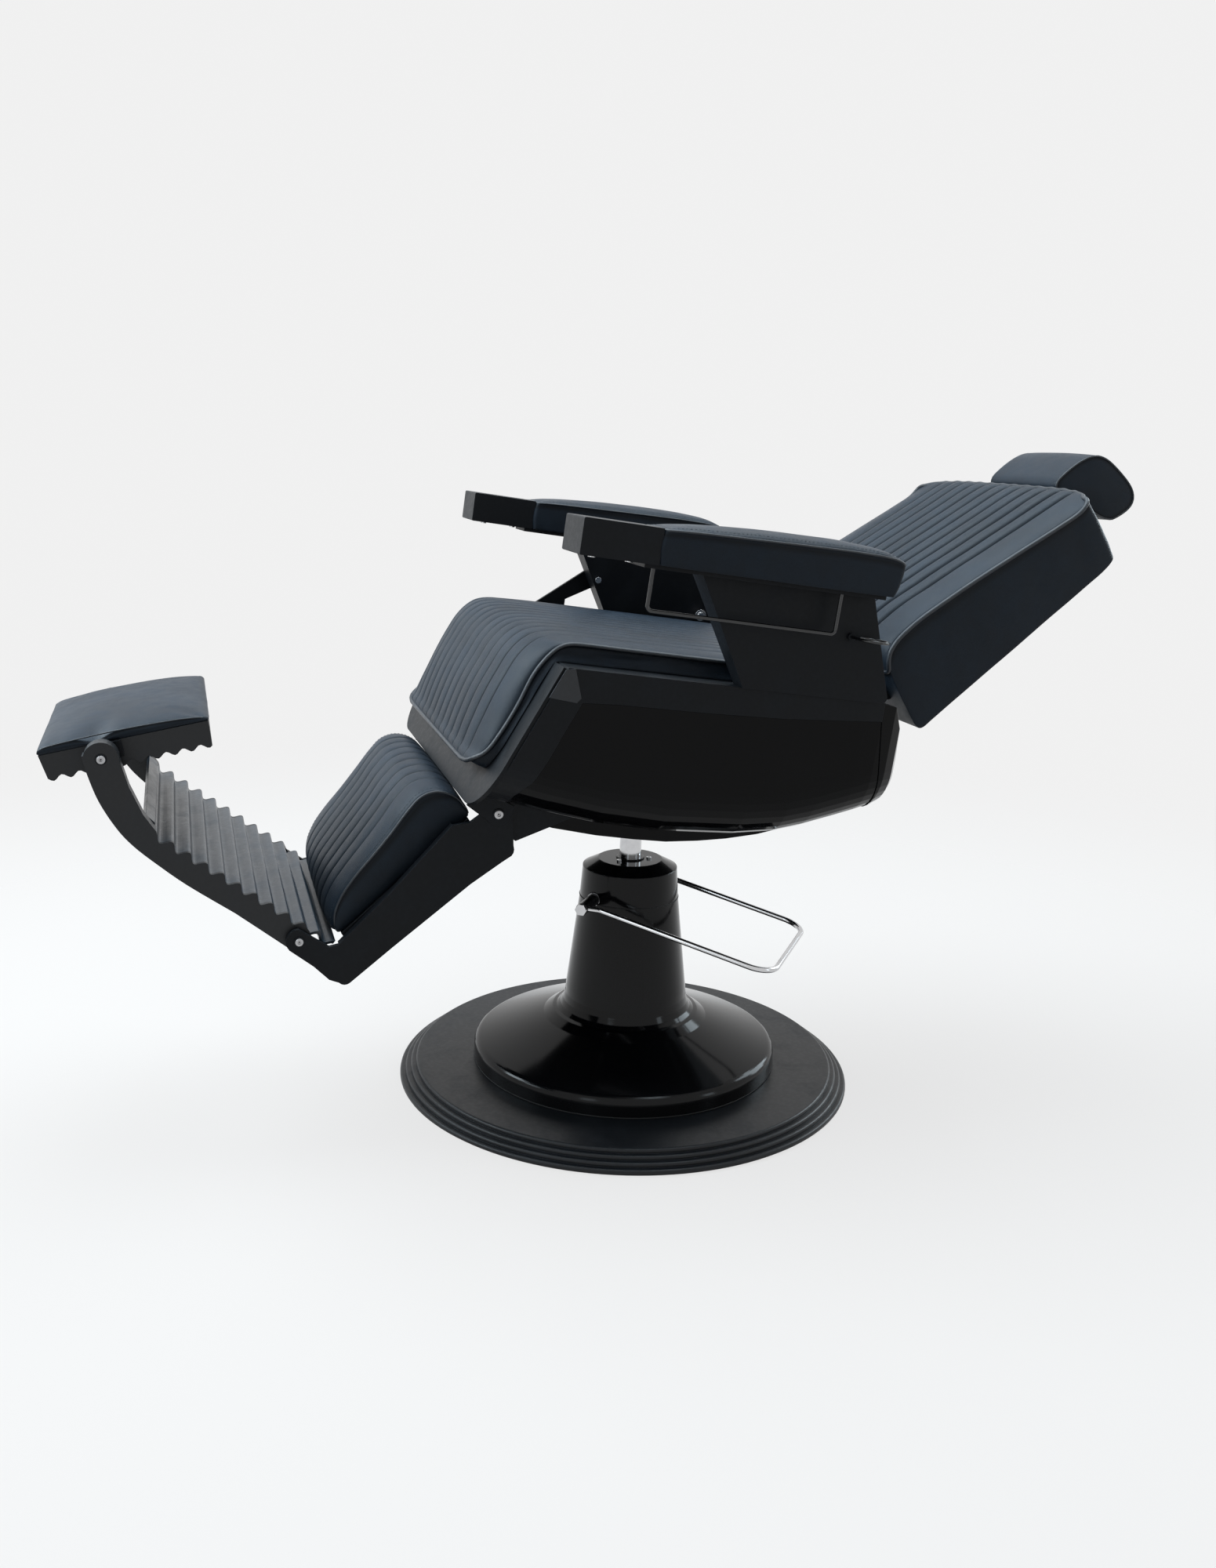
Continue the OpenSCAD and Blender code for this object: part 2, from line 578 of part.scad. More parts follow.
// Point in front of the flange: d down from its top edge, n out from its face
function front(d, n) = flange_top - d * (flange_top - flange_low) / flange_len + n * flange_out;
flange_out = [flange_low[1] - flange_top[1], flange_top[0] - flange_low[0]] / flange_len;
seat_stations = [
    [[190, seat_top], [192, seat_top + 5.7], [193, seat_top + 7.7]],
    [[188, seat_top], [192, seat_top + 18.7], [190, seat_top + 23.7]],
    [[175, seat_top], [175, seat_top + 23.2], [175, seat_top + 29.7]],
    [[60, seat_top], [60, seat_top + 23.2], [60, seat_top + 31.7]],
    [[-80, seat_top], [-80, seat_top + 23.2], [-80, seat_top + 31.7]],
    [[-165, seat_top], [-172, seat_top + 23.2], [-180, seat_top + 30.2]],
    [[-195, seat_top], [-197, seat_top + 22.7], [-208, seat_top + 28.7]],
    [[-206, seat_top], [-210, seat_top + 17.7], [-226.4, seat_top + 24.7]],
    [[-214, seat_top], [-221, seat_top + 6.7], [-243, seat_top + 13.1]],
    [front(9.1, 0.8), front(9.5, 13.2), front(18.5, 37.3)],
    [front(28.8, 0.9), front(27.2, 14.7), front(46.6, 38.4)],
    [front(59.3, 0.7), front(68.5, 11.9), front(78.4, 37.1)],
    [front(104, 0.8), front(112.4, 12.4), front(119.9, 32)],
    [front(134.5, 0.5), front(141.8, 14.8), front(149.3, 26.8)],
    [front(152, 0.5), front(155.3, 23.1), front(158.5, 25.5)],
    [front(157.4, 0.5), front(160.9, 23.4), front(161.5, 23.6)]];
module seat_cushion() color(vinyl_black) on_seat()
    upholstered(seat_stations, cushion_half, channel_half, seat_channels, groove, 10);
module leg_pivot_bolts() color(bright_steel) on_seat() both_sides()
    side_bolt(calf_half + 7, leg_piv_y, leg_piv_z, leg_bolt_r, calf_half + 7 - mech_in, 7.5, 4);

// ---- Arms ----
panel_tilt = atan((panel_top_t - panel_low_t) / (arm_z - deck_z));
panel_outline = concat([[10.6, deck_z], [-64, arm_z], [163.7, arm_z]], arc(199, deck_z + 7, 7, 10, -90, 5));
panel_pocket = [[22, deck_z - 1], [-50, arm_z - 5], [158, arm_z - 5], [194, deck_z - 1]];
module panel_cut(d) translate([panel_out - panel_top_t + d, 0, arm_z]) rotate([0, -panel_tilt, 0])
    translate([-100, -200, -300]) cube([100, 500, 400]);
module arm_panel() difference() {
    side_plate(panel_out - panel_top_t, panel_out, panel_outline);
    panel_cut(0);
    difference() {
        side_plate(panel_out - panel_top_t - 1, panel_out - 4, panel_pocket);
        panel_cut(4);
    }
}
module arm_panel_left() color(matte_black) on_seat() arm_panel();
module arm_panel_right() color(matte_black) on_seat() mirror([1, 0, 0]) arm_panel();
arm_mid = panel_out + 6;         // middle of each armrest
block_y = -135;                  // back face of the armrest blocks
arm_top = arm_z + arm_plate_t;
module arm_plates() color(matte_black) on_seat() both_sides()
    translate([arm_mid - 34, block_y - 12, arm_z]) cube([58, 310, arm_plate_t]);
module arm_block() side_plate(arm_mid + 1 - block_w / 2, arm_mid + 1 + block_w / 2, concat(
    arc(block_y - 1, arm_top + 1, 1, 270, 360, 2), arc(block_y - 1, arm_top + block_h - 1, 1, 0, 90, 2),
    arc(block_y - block_len + 2, arm_top + block_h - 2, 2, 90, 180, 3),
    arc(block_y - block_len + 2, arm_top + 2, 2, 180, 270, 3)));
module arm_block_left() color(matte_black) on_seat() arm_block();
module arm_block_right() color(matte_black) on_seat() mirror([1, 0, 0]) arm_block();
pad_y = block_y + gap;
pad_z = arm_top + gap;
pad_end = pad_y + pad_len;
pad_stations = [
    [[pad_end - 8, pad_z], [pad_end - 5, pad_z + 4], [pad_end - 4, pad_z + 5]],
    [[pad_end - 9, pad_z], [pad_end - 0.5, pad_z + 18], [pad_end, pad_z + 22]],
    [[pad_end - 12, pad_z], [pad_end - 1, pad_z + 36], [pad_end - 2, pad_z + 43]],
    [[pad_end - 22, pad_z], [pad_end - 8, pad_z + 45], [pad_end - 12, pad_z + 52]],
    [[pad_end - 60, pad_z], [pad_end - 60, pad_z + 47], [pad_end - 60, pad_z + 56]],
    [[pad_end - 140, pad_z], [pad_end - 140, pad_z + 45.5], [pad_end - 140, pad_z + 55]],
    [[pad_y + 90, pad_z], [pad_y + 90, pad_z + 43.5], [pad_y + 90, pad_z + 52]],
    [[pad_y + 30, pad_z], [pad_y + 30, pad_z + 41.5], [pad_y + 30, pad_z + 48]],
    [[pad_y + 8, pad_z], [pad_y + 8, pad_z + 40], [pad_y + 8, pad_z + 44.5]],
    [[pad_y, pad_z], [pad_y, pad_z + 39], [pad_y, pad_z + 41.5]]];
module arm_pad() translate([arm_mid, 0, 0])
    upholstered(pad_stations, pad_w / 2 - 3, pad_w / 4, 1, 0, 1.5);
module arm_pad_left() color(vinyl_black) on_seat() arm_pad();
module arm_pad_right() color(vinyl_black) on_seat() mirror([1, 0, 0]) arm_pad();
lug_y = 154;
lug_z = deck_z + 38;
button_y = -21.2;      // middle of the recline lever's pivot, and of the screw inside it
button_z = arm_z - 58.3;
// Inner face of the arm panel at height z
function panel_face(z) = panel_out - panel_top_t + (arm_z - z) * tan(panel_tilt);
// A disc on the inner face of the panel, from a to b above the face
module face_disc(y, z, r, a, b) translate([panel_face(z), y, z]) rotate([0, -90 - panel_tilt, 0])
    translate([0, 0, a]) cylinder(h = b - a, r = r);
module arm_screws() color(bright_steel) on_seat() both_sides() {
    for (y = [block_y - 24, block_y - 69]) translate([arm_mid, y, arm_top - 2.6]) cylinder(h = 2.5, r = 4.5);
    face_disc(lug_y, lug_z, 9, 0.1, 12);
    face_disc(lug_y, lug_z, 5, 12 - eps, 15);
    face_disc(button_y, button_z, 5, 0.1, 3);
}
bar_x = arm_mid + 17;
bar_front = block_y + 1;
bar_back = 107;
bar_z = arm_z - 49;
bar_bend = 6;
// Quarter bend of a wire about [y, z] in the side view, from the angle a0
module wire_bend(y, z, bend, a0, r) translate([y, z, 0]) rotate([0, 0, a0])
    rotate_extrude(angle = 90) translate([bend, 0]) circle(r = r, $fn = 32);
module towel_bar() color(matte_black) on_seat() translate([bar_x, 0, 0]) rotate([90, 0, 90]) {
    for (y = [bar_front, bar_back]) translate([y, bar_z + bar_bend, 0]) rotate([-90, 0, 0])
        cylinder(h = arm_z - bar_z - bar_bend, r = wire_r, $fn = 32);
    translate([bar_front + bar_bend, bar_z, 0]) rotate([0, 90, 0])
        cylinder(h = bar_back - bar_front - 2 * bar_bend, r = wire_r, $fn = 32);
    wire_bend(bar_front + bar_bend, bar_z + bar_bend, bar_bend, 180, wire_r);
    wire_bend(bar_back - bar_bend, bar_z + bar_bend, bar_bend, 270, wire_r);
}
ring_y = 160;
ring_z = arm_z - 51;
ring_wire = 1.8;
module ring_boss() color(matte_black) on_seat()
    side_disc(panel_out, panel_out + 4, ring_y - ring_r, ring_z, 5);
module tool_ring() color(matte_black) on_seat() translate([panel_out + 4, ring_y, ring_z]) {
    translate([ring_r, 0, 0]) rotate([0, 0, -90])
        rotate_extrude(angle = 340) translate([ring_r, 0]) circle(r = ring_wire, $fn = 24);
    translate([0, -ring_r, 0]) rotate([0, 90, 0]) cylinder(h = ring_r, r = ring_wire, $fn = 24);
}

// ---- Recline lever ----
recline_x = panel_out + 1;
recline_pin_r = 6;
module recline_pivot() color(bright_steel) on_seat() mirror([1, 0, 0]) {
    side_disc(panel_out, recline_x + recline_t + 1, button_y, button_z, recline_pin_r);
    side_disc(recline_x + recline_t + 0.5, recline_x + recline_t + 3, button_y, button_z, recline_pin_r + 3);
}
handle_y = -82;
handle_low = arm_z - 201;
module recline_lever() color(matte_black) on_seat() mirror([1, 0, 0]) difference() {
    side_plate(recline_x, recline_x + recline_t, concat(
        arc(button_y, button_z, 15, -50, 130, 12),
        [[handle_y - recline_w / 2, button_z - 48.7]],
        arc(handle_y, handle_low, recline_w / 2, 180, 360, 12),
        [[handle_y + recline_w / 2, button_z - 38.7]]));
    side_disc(panel_out, panel_out + 20, button_y, button_z, recline_pin_r + fit);
}

// ---- Back ----
back_top = back_len;
back_stations = [
    [[36, gap], [35.6, 2], [32, 3]], [[38, gap], [38, 14], [33, 18]],
    [[44, gap], [46, 25], [41, 34]], [[58, gap], [58, 33], [55, 46]],
    [[85, gap], [85, 40.3], [85, 54]], [[160, gap], [160, 43.5], [160, 56]],
    [[back_top - 126, gap], [back_top - 126, 42.2], [back_top - 126, 55]],
    [[back_top - 38, gap], [back_top - 38, 40.5], [back_top - 36, 54.5]],
    [[back_top - 14, gap], [back_top - 14, 42], [back_top - 2, 53]],
    [[back_top - 2, gap], [back_top - 2, 46], [back_top + 14, 49]],
    [[back_top + 1, gap], [back_top + 1, 43], [back_top + 20, 41]],
    [[back_top + 3, gap], [back_top + 3.5, 22], [back_top + 12, 20]],
    [[back_top + 3.5, gap], [back_top + 4, 3], [back_top + 5, 4]]];
module back_cushion() color(vinyl_black) on_back()
    upholstered(reversed(back_stations), back_half - 3, back_channel_half, back_channels, groove, 1);
// Side view of the upholstered box behind the cushion, drawn in by o
function shell_outline(o) = [[35.6 + o, 0], [33 + o, -76 + o / 2], [39.4 + o, -90 + o * 1.2],
    [back_top - 176, -69 + o], [back_top - 23, -50.3 + o], [back_top - 1 - o, -43.3 + o * 1.2],
    [back_top + 4 - o, -36 + o / 2],
    [back_top + 3 - o, 0]];
back_wall = 5;
back_y0 = 36;                          // lower end of the box behind the cushion
guide_y = back_top - 88;
stem_z = -22.5;
module back_shell() color(vinyl_black) on_back() difference() {
    side_plate(-back_half, back_half, shell_outline(0));
    difference() {
        side_plate(-back_half + back_wall, back_half - back_wall, shell_outline(back_wall));
        translate([-far, 0, -200]) cube([far * 2, back_y0, 100]);
    }
    translate([-back_half + back_wall, back_y0 + back_wall, -1])
        cube([2 * (back_half - back_wall), back_top - 2 - back_y0 - back_wall, 2]);
    both_sides() translate([arm_in - 1.5, 0, -52]) cube([arm_t + 3, 60, 60]);
    translate([-stem_w / 2 - 7, back_top - 20, stem_z - 11]) cube([stem_w + 14, 40, 24]);
}
board_t = 12;
board_in = back_wall + 1;              // gap from the box's outside to the board's edge
module back_board() color(plywood) on_back()
    translate([-back_half + board_in, back_y0 + board_in, -board_t - 0.5])
        cube([2 * (back_half - board_in), back_top - 4 - back_y0 - board_in, board_t]);
module hinge_arms() color(matte_black) on_back() both_sides() difference() {
    side_plate(arm_in, arm_in + arm_t, concat(
        arc(0, 0, ear_r, 60, 250, 12),
        [[30, -44], [200, -44], [200, -board_t - 0.5], [36, -board_t - 0.5]]));
    side_disc(arm_in - 1, arm_in + arm_t + 1, 0, 0, hinge_pin_r + fit);
}
module hinge_pins() color(bright_steel) on_seat() both_sides() {
    side_disc(mech_in - 3, arm_in + arm_t + 3, back_piv_y, back_piv_z, hinge_pin_r);
    side_disc(mech_in - pin_head, mech_in - gap, back_piv_y, back_piv_z, hinge_pin_r + 4);
    side_disc(arm_in + arm_t + gap, arm_in + arm_t + 4, back_piv_y, back_piv_z, hinge_pin_r + 4);
}
module headrest_guide() color(dull_steel) on_back() difference() {
    translate([-stem_w / 2 - 5, guide_y, stem_z - stem_t / 2 - 4.5])
        cube([stem_w + 10, back_top + 3 - guide_y, -board_t - 0.5 - stem_z + stem_t / 2 + 4.5]);
    translate([-stem_w / 2 - fit, 0, stem_z - stem_t / 2 - fit])
        cube([stem_w + 2 * fit, 2 * back_top, stem_t + 2 * fit]);
}

// ---- Headrest ----
head_y = back_top + 38;                // near edge of the headrest's cushion
head_face_a = [head_y, 29.9];
head_face_b = [head_y + 54.9, -55.5];
face_dir = (head_face_b - head_face_a) / norm(head_face_b - head_face_a);
face_in = [-face_dir[1], face_dir[0]];
function on_face(a, b) = head_face_a + a * face_dir + b * face_in;
face_mid = norm(head_face_b - head_face_a) / 2;
head_pin = on_face(face_mid, -18);
head_pin_r = 5;
eye_r = 9;
module headrest_stem() color(dull_steel) on_back() difference() {
    union() {
        translate([-stem_w / 2, guide_y - 65, stem_z - stem_t / 2])
            cube([stem_w, head_pin[0] - guide_y + 65 - eye_r / 2, stem_t]);
        side_disc(-stem_w / 2, stem_w / 2, head_pin[0], head_pin[1], eye_r);
    }
    side_disc(-stem_w, stem_w, head_pin[0], head_pin[1], head_pin_r + fit);
}
head_plate_half = head_half * 0.8;
module headrest_bracket() color(matte_black) on_back() {
    side_plate(-head_plate_half, head_plate_half,
        [on_face(12, -6), on_face(12, -gap), on_face(90, -gap), on_face(90, -6)]);
    both_sides() side_plate(stem_w / 2 + gap, stem_w / 2 + 6, concat(
        [on_face(face_mid + 16, -6 + eps), on_face(face_mid - 16, -6 + eps)],
        [for (p = arc(0, 0, eye_r, 120, 300, 10)) head_pin + rot(p, -33)]));
    side_disc(-stem_w / 2 - 7, stem_w / 2 + 7, head_pin[0], head_pin[1], head_pin_r);
}
function rot(p, a) = [p[0] * cos(a) - p[1] * sin(a), p[0] * sin(a) + p[1] * cos(a)];
head_outline = [for (p = [
    [0, 29.9], [4.3, 38.7], [15.6, 43], [35, 46.5], [54.4, 47], [71, 44.5], [83.5, 38], [92, 28],
    [98, 16], [105, -5], [110.4, -26], [110.5, -40], [106, -51], [95.5, -58], [76, -59],
    [54.9, -55.5]]) p + [head_y, 0]];
head_sections = [[-head_half, 0.8], [-head_half + 4, 0.9], [-head_half + 13, 0.975], [-head_half * 0.4, 1.0],
    [head_half * 0.4, 1.0], [head_half - 13, 0.975], [head_half - 4, 0.9], [head_half, 0.8]];
module headrest_cushion() color(vinyl_black) on_back()
    swept_outline(head_outline, on_face(face_mid, 38), head_sections);

// ---- Leg rest ----
calf_tip = -leg_len;
calf_lip = [[calf_tip + 36.9, -31.3], [-162.4, -10.9], [-55.6, 18.4]];
lip_t = 3;
calf_outline = concat(
    arc(calf_tip, 0, 16, 60, 190, 8), [[calf_tip - 3.4, -37.4], [calf_tip + 2.6, -63.5]],
    arc(calf_tip + 20, -72, 10, 190, 275, 4), [[calf_tip + 88.2, -73.7], [-76.8, -60.2], [-28.8, -58.6]],
    arc(-17, -47, 12, 285, 350, 3), arc(0, 0, lug_r, -45, 150, 12),
    [[-34.7, 8.9], calf_lip[2], calf_lip[1], calf_lip[0], [calf_tip + 25.9, -27]]);
module calf_plate() {
    difference() {
        side_plate(calf_in, calf_half, calf_outline);
        side_disc(calf_in - 1, calf_half + 1, 0, 0, leg_bolt_r + fit);
        side_disc(calf_in - 1, calf_half + 1, calf_tip, 0, foot_bolt_r + fit);
    }
    side_plate(calf_in - 7, calf_in + eps, concat(calf_lip, below(calf_lip, lip_t)));
}
module calf_plate_left() color(matte_black) on_leg() calf_plate();
module calf_plate_right() color(matte_black) on_leg() mirror([1, 0, 0]) calf_plate();
calf_base_low = [calf_tip + 44, -26];
calf_base_top = [-31, 11];
calf_base_slope = atan2(calf_base_top[1] - calf_base_low[1], calf_base_top[0] - calf_base_low[0]);
// Point on the calf cushion's seat line, n above it
function calf_base(y, n) = [y, calf_base_low[1] + (y - calf_base_low[0]) * tan(calf_base_slope) + n];
tube_r = 11;
module calf_board() color(matte_black) on_leg() {
    side_plate(-calf_in + 8, calf_in - 8, [calf_base(calf_tip + 46, 0), calf_base(-34, 0),
        calf_base(-34, -8), calf_base(calf_tip + 46, -8)]);
    for (y = [calf_tip + 65, -70])
        side_disc(-calf_in + gap, calf_in - gap, y, calf_base(y, -7 - tube_r)[1], tube_r);
}
calf_stations = [
    [calf_base(-33, gap), [-30, 16], [-28, 20]], [calf_base(-38, gap), [-29, 33], [-26, 38]],
    [calf_base(-48, gap), [-36, 48], [-35, 57]], [calf_base(-60, gap), [-48, 62], [-50, 71]],
    [calf_base(-75, gap), [-65, 66.5], [-69, 78]], [calf_base(-95, gap), [-92, 59.6], [-96, 72]],
    [calf_base(-125, gap), [-123, 47.6], [-127, 59]], [calf_base(-160, gap), [-158, 36], [-163, 44.5]],
    [calf_base(-195, gap), [-194, 25], [-199, 31]],
    [calf_base(calf_tip + 68, gap), [calf_tip + 66, 11], [calf_tip + 60, 17]],
    [calf_base(calf_tip + 52, gap), [calf_tip + 47, -8], [calf_tip + 38, -3]],
    [calf_base(calf_tip + 45, gap), [calf_tip + 43, -20], [calf_tip + 33, -20]],
    [calf_base(calf_tip + 44, gap), [calf_tip + 43, -24], [calf_tip + 38, -25]]];
module calf_cushion() color(vinyl_black) on_leg()
    upholstered(calf_stations, calf_cushion_half - 2, calf_cushion_half * 0.72, calf_channels, groove, 1);
module foot_hinge_bolts() color(bright_steel) on_leg() both_sides()
    side_bolt(calf_half + gap, calf_tip, 0, foot_bolt_r, calf_half + gap - foot_half + foot_skin + 5, 6.5, 4);

// ---- Footrest ----
foot_skin = 6;                         // thickness of the casting's walls
foot_eye = 16;                         // radius of the arms' hinge end
tread_y0 = -218;                       // outer end of the ribs
tread_y1 = 40;                         // inner end of the ribs, past the hinge
rib_steps = 14;                        // facets of each rib
rib_pitch = (tread_y1 - tread_y0) / rib_count;
function tread_z(y) = 5 + (y - tread_y0) / 30 + rib_h / 2 * (1 + cos(360 * (y - tread_y0) / rib_pitch));
tread_line = [for (i = [0:rib_count * rib_steps])
    let (y = tread_y0 + i * rib_pitch / rib_steps) [y, tread_z(y)]];
bay_y = -236;                          // edge of the cut-out for the foot pad
function below(points, d) = [for (i = [len(points) - 1:-1:0]) points[i] - [0, d]];
module foot_tread() color(matte_black) on_foot() {
    side_plate(-foot_half + foot_skin, foot_half - foot_skin, concat(tread_line, below(tread_line, 5)));
    side_plate(-foot_in + gap, foot_in - gap, [[bay_y, 20], [bay_y + 14, 18], [tread_y0, tread_z(tread_y0)],
        [tread_y0, tread_z(tread_y0) - 5], [bay_y + 12, 10], [bay_y, 14]]);
    for (y = [bay_y + 26, -foot_eye - 8])
        side_disc(-foot_half + foot_skin, foot_half - foot_skin, y, tread_z(y) - 9, 7);
}
foot_low = smooth([[-336.7, 39.8], [-320.6, 26.7], [-290.7, 7.1], [-256.1, -7.8], [-228, -14.6],
    [-194, -17.4], [-148.6, -18.7], [-83, -15.6]], 4);
foot_profile = concat(foot_low, arc(0, 0, foot_eye, 265, 440, 12),
    [for (i = [len(tread_line) - 1:-1:1]) if (tread_line[i][0] < -foot_eye / 4) tread_line[i]],
    [[tread_y0, 15], [-240.9, 22.5], [-273, 40.2]],
    arc(flip_y, flip_z, 20, 35, 205, 12));
module foot_arm() difference() {
    union() {
        side_plate(foot_half - foot_skin, foot_half, foot_profile);
        intersection() {
            side_plate(foot_in, foot_half - foot_skin + eps, foot_profile);
            translate([0, -500, -100]) cube([foot_half, 500 + tread_y0, 300]);
        }
    }
    side_disc(foot_in - 1, foot_half + 1, 0, 0, foot_bolt_r + fit);
    side_disc(foot_in - 1, foot_half + 1, flip_y, flip_z, foot_bolt_r + fit);
}
module foot_arm_left() color(matte_black) on_foot() foot_arm();
module foot_arm_right() color(matte_black) on_foot() mirror([1, 0, 0]) foot_arm();

// ---- Foot pad ----
tray_top = 12;
tray_wall = 4;
tray_y0 = -70;
tray_y1 = 126;
function tray_wave(o) = [for (i = [0:60]) let (y = lerp(tray_y0 + 4 + o, tray_y1 - 2 - o, i / 60))
    [y, -18 + o + 3 * cos(18 * (y - tray_y0))]];
bracket_t = 5;
module pad_tray() color(matte_black) on_flip() difference() {
    side_plate(-tray_half, tray_half, concat(tray_wave(0), [[tray_y1, tray_top], [tray_y0, tray_top]]));
    side_plate(-tray_half + tray_wall, tray_half - tray_wall, concat(tray_wave(tray_wall),
        [[tray_y1 - tray_wall, tray_top + 1], [tray_y0 + tray_wall, tray_top + 1]]));
}
module pad_brackets() color(matte_black) on_flip() both_sides() difference() {
    union() {
        side_plate(tray_half, tray_half + bracket_t,
            concat(arc(0, 0, 12, 100, 300, 10), [[24, -8], [24, tray_top - gap], [4, tray_top - gap]]));
        side_disc(tray_half, foot_in - gap, 0, 0, 10);
        side_disc(tray_half + bracket_t, tray_half + bracket_t + 2, 14, 4, 4);
    }
    side_disc(tray_half - 1, foot_half, 0, 0, foot_bolt_r + fit);
}
module flip_bolts() color(bright_steel) on_flip() both_sides()
    side_bolt(foot_half + gap, 0, 0, foot_bolt_r, foot_half + gap - tray_half - 1, 6.5, 4);
pad_base = tray_top + gap;
footpad_stations = [
    [[-69, pad_base], [-71, pad_base + 1.5], [-70, pad_base + 2]],
    [[-66, pad_base], [-69, pad_base + 6], [-66, pad_base + 9]],
    [[-52, pad_base], [-53, pad_base + 9], [-50, pad_base + 0.75 * footpad_crown]],
    [[-20, pad_base], [-20, pad_base + 11], [-20, pad_base + footpad_crown]],
    [[20, pad_base], [20, pad_base + 11.5], [20, pad_base + footpad_crown]],
    [[65, pad_base], [65, pad_base + 11], [65, pad_base + 0.97 * footpad_crown]],
    [[100, pad_base], [101, pad_base + 9], [100, pad_base + 0.8 * footpad_crown]],
    [[120, pad_base], [123, pad_base + 5], [121, pad_base + 0.4 * footpad_crown]],
    [[126, pad_base], [128, pad_base + 1.5], [127, pad_base + 2]]];
module foot_pad() color(vinyl_black) on_flip()
    upholstered(reversed(footpad_stations), tray_half - 1, tray_half * 0.6, 1, 0, 1);

floor_sole();
floor_plate();
column_bell();
column_cap();
pump_cylinder();
piston_gland();
cap_screws();
lever_bearings();
pump_lever();
lever_sleeves();
piston_rod();
swivel_socket();
mechanism_plate_left();
mechanism_plate_right();
cross_plate();
bottom_pan();
seat_shell();
rear_cap();
seat_frame();
front_flange();
corner_clips();
seat_board();
seat_cushion();
leg_pivot_bolts();
arm_panel_left();
arm_panel_right();
arm_plates();
arm_block_left();
arm_block_right();
arm_pad_left();
arm_pad_right();
arm_screws();
towel_bar();
ring_boss();
tool_ring();
recline_pivot();
recline_lever();
back_cushion();
back_shell();
back_board();
hinge_arms();
hinge_pins();
headrest_guide();
headrest_stem();
headrest_bracket();
headrest_cushion();
calf_plate_left();
calf_plate_right();
calf_board();
calf_cushion();
foot_hinge_bolts();
foot_tread();
foot_arm_left();
foot_arm_right();
flip_bolts();
pad_tray();
pad_brackets();
foot_pad();
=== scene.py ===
"""Looks of the hydraulic barber chair: upholstery, piping, stitching, finishes and a plain studio."""

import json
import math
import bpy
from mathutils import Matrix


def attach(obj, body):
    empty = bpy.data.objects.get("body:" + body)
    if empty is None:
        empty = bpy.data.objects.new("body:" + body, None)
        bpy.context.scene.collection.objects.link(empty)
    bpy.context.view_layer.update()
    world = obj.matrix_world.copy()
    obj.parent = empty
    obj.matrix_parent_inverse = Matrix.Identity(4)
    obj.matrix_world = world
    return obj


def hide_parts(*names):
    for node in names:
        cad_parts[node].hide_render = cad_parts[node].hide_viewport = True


bl_info = {
    "name": "Barber Chair",
    "version": (1, 0, 0),
    "blender": (4, 5, 0),
    "location": "View3D > Sidebar > Barber chair",
    "description": "Dresses a hydraulic barber chair with upholstery, hardware and finishes",
    "category": "Object",
}

import bpy
import numpy as np
from mathutils import Matrix, Vector, noise

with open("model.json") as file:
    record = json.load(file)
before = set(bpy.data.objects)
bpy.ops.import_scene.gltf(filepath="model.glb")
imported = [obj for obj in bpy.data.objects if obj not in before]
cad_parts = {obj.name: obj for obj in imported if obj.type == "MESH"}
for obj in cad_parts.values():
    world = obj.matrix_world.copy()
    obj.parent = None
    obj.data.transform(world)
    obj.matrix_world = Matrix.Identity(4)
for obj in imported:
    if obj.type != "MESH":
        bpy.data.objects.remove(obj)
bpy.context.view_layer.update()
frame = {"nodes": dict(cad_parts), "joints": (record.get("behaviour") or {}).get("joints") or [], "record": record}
MM = 0.001
CLOTH_FRAMES = 14
WASHER = 0.0009
STITCH_SHARE = 0.62  # thread seen, as a share of the stitch's pitch
FLOOR_RADIUS = 6.0
FLOOR_COLOUR = (0.38, 0.355, 0.34, 1)
FLOOR_GLOW = 1.19
LAMP_COLOUR = (0.79, 0.92, 1.0)
ROOM_COLOUR = (0.8, 0.88, 1.0, 1)
ROOM_LIGHT = 0.08
CAMERA_PLACE = (1.899293, -0.613449, 0.914836)
CAMERA_TURNS = (0.2946085, 0.2354778, 0.0325862)  # yaw, pitch and roll in radians
CAMERA_LENS = 32.9617


def turned(angle):
    return Matrix.Rotation(math.radians(angle), 4, "X")


def moved(y, z):
    return Matrix.Translation((0, y * MM, z * MM))


# Frames of the moving parts at rest, in millimetres inside them
SEAT = moved(0, 400) @ turned(-7) @ Matrix.Scale(MM, 4)
BACK = moved(0, 400) @ turned(-7) @ moved(215, 238) @ turned(39.5) @ Matrix.Scale(MM, 4)
LEG_FRAME = moved(0, 400) @ turned(-7) @ moved(-245, 26.3) @ turned(38.9)
LEG = LEG_FRAME @ Matrix.Scale(MM, 4)
FOOT_FRAME = LEG_FRAME @ moved(-290, 0) @ turned(-70)
FLIP = FOOT_FRAME @ moved(-317.5, 49.3) @ turned(49.1) @ Matrix.Scale(MM, 4)


